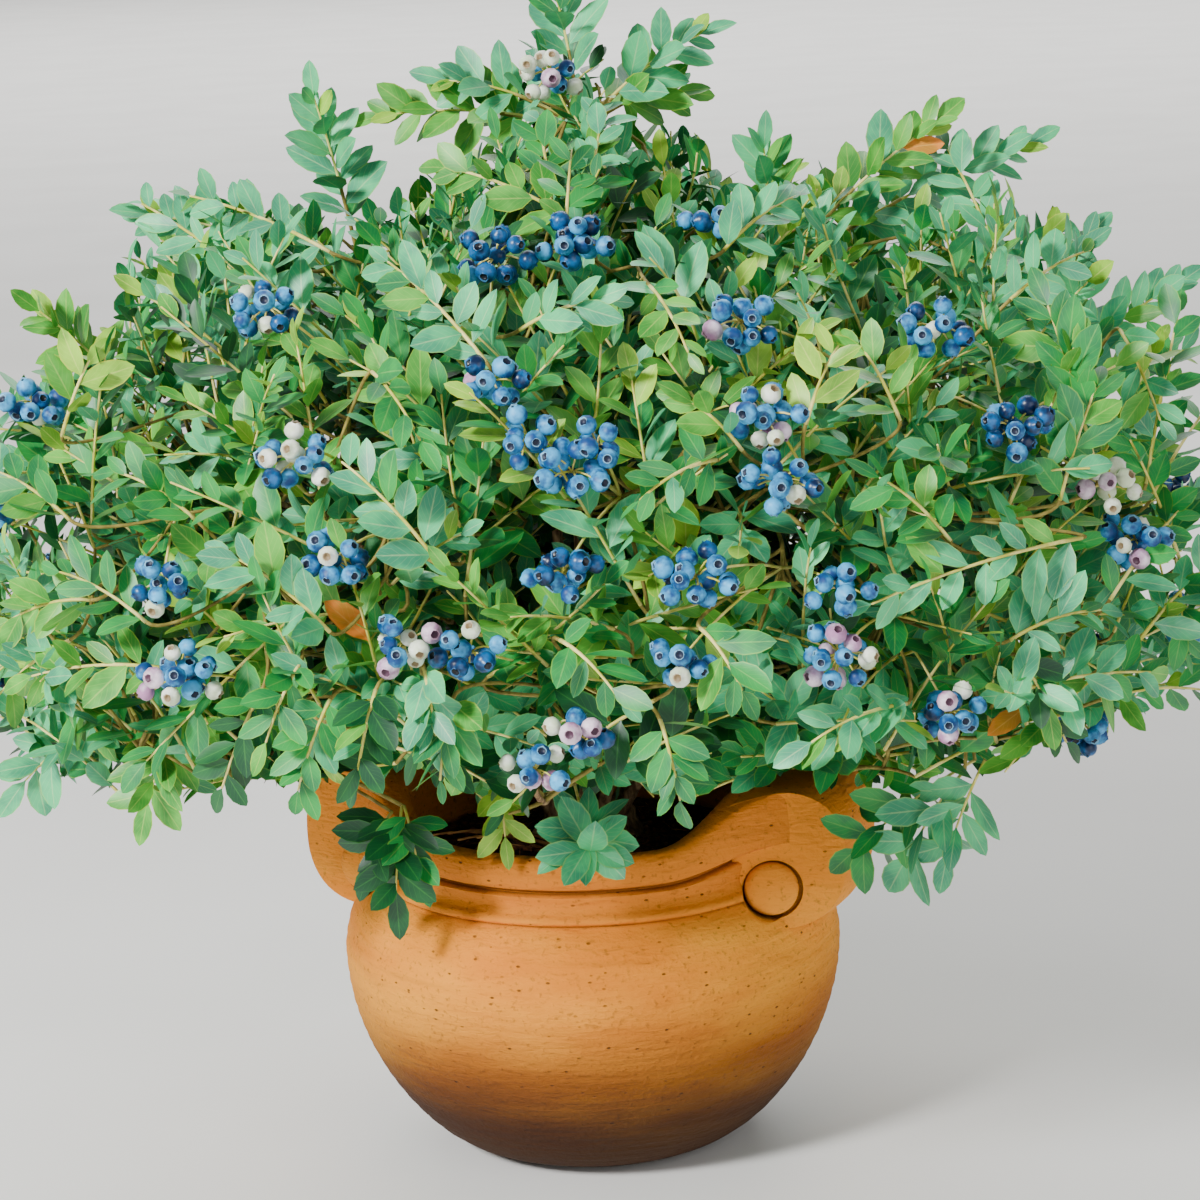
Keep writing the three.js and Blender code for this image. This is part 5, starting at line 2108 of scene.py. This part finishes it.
    def build(self, bark: Material, young: Material, green: Material) -> None:
        """Grows and dresses the whole crown.

        Args:
            bark: the canes' bark.
            young: the older twigs' bark.
            green: this year's shoots.
        """
        self.branch_out()
        self.place_clusters()
        self.fruit_at = np.array([c.centre for c in self.clusters])
        self.fruit_out = np.array([c.outward for c in self.clusters])
        self.fruit_r = np.array([c.reach() for c in self.clusters])
        self.lead_shoots()
        self.hang_sprays()
        self.front_sprays()
        self.skin_shoots()
        self.turn_leaves()
        for cluster in self.clusters:
            inside = cluster.centre - cluster.outward * 48
            root = self.nearest(cluster.centre).joint_near(inside)
            self.berries.hang(cluster, root, self.random)
        names = [mass.name for mass in self.masses]
        self.build_foot(bark)
        dress(tube_object("canes", self.canes), bark, "bark", *[f"cane_{name}" for name in names])
        dress(tube_object("twigs", self.twigs), young, "bark")
        dress(tube_object("shoots_green", self.green), green, "bark")
        dress(tube_object("berry_stalks", self.berries.stalks), green, "bark")
        foliage = [f"foliage_{name}" for name in names]
        for tint, piece in self.leaves.build(self.seed):
            dress(piece, LEAF_FINISHES[tint].material(), "leaf", *foliage)
        for kind, piece in self.berries.build():
            dress(piece, BERRY_FINISHES[kind].material(), "berry")
        LOG.info("%d leaves, %d clusters", len(self.leaves.rows), len(self.clusters))

    def build_foot(self, bark: Material) -> None:
        """Shapes the woody foot: a knotted crown of merged bases that flares into the mix.

        Args:
            bark: its bark.
        """
        steps = [(38, 200), (36, 205), (31.5, 209), (29, 214), (28, 219), (26.5, 222.5), (17, 224), (6, 223)]
        foot = disc(steps[0][0], 40, "FACE", steps[0][1])
        draw_up(steps, ring=False)
        close_up()
        settle(foot, "woody_foot")
        p = corners(foot)
        a = np.arctan2(p[:, 1], p[:, 0])
        lobes = 1 + 0.10 * np.sin(3 * a + 0.6) + 0.05 * np.sin(7 * a)
        lobes += 0.03 * np.sin(11 * a + p[:, 2] * 0.4)
        p[:, :2] *= lobes[:, None]
        move_corners(foot, p)
        smooth_by_angle(foot, 60)
        dress(foot, bark, "bark", "root_crown")


# ---------- assembly
def main() -> None:
    """Builds the studio, the pot, the mix and the bush."""
    logging.basicConfig(level=logging.INFO, format="%(message)s")
    studio = Studio()
    studio.build()
    lug = Terracotta("terracotta_lug", "#F09E30", "#E88A20", "#E88A20", "#C0681A")
    Pot().build(Terracotta().material(), lug.material())
    mix = PottingMix()
    mix.build_mound(Grainy("potting_mix_moist", "#120A06", "#2C1C12", 3.0, 0.95, 1.2).material())
    mix.build_mulch(
        Grainy("pine_bark_chips", "#2A160C", "#6E4022", 2.0, 0.9).material(),
        Grainy("pine_straw", "#6B3F1E", "#B07A44", 6.0, 0.8).material(),
    )
    Crown(studio).build(
        Grainy("blueberry_bark", "#5A432B", "#A88A62", 2.2, 0.85, 0.8, 0.25).material(),
        Grainy("second_year_twig", "#6F6428", "#A3934A", 5.0, 0.7, 0.2).material(),
        Grainy("new_shoot_green", "#C2BC48", "#EFE08C", 9.0, 0.55, 0.1).material(),
    )


if __name__ == "__main__":
    main()
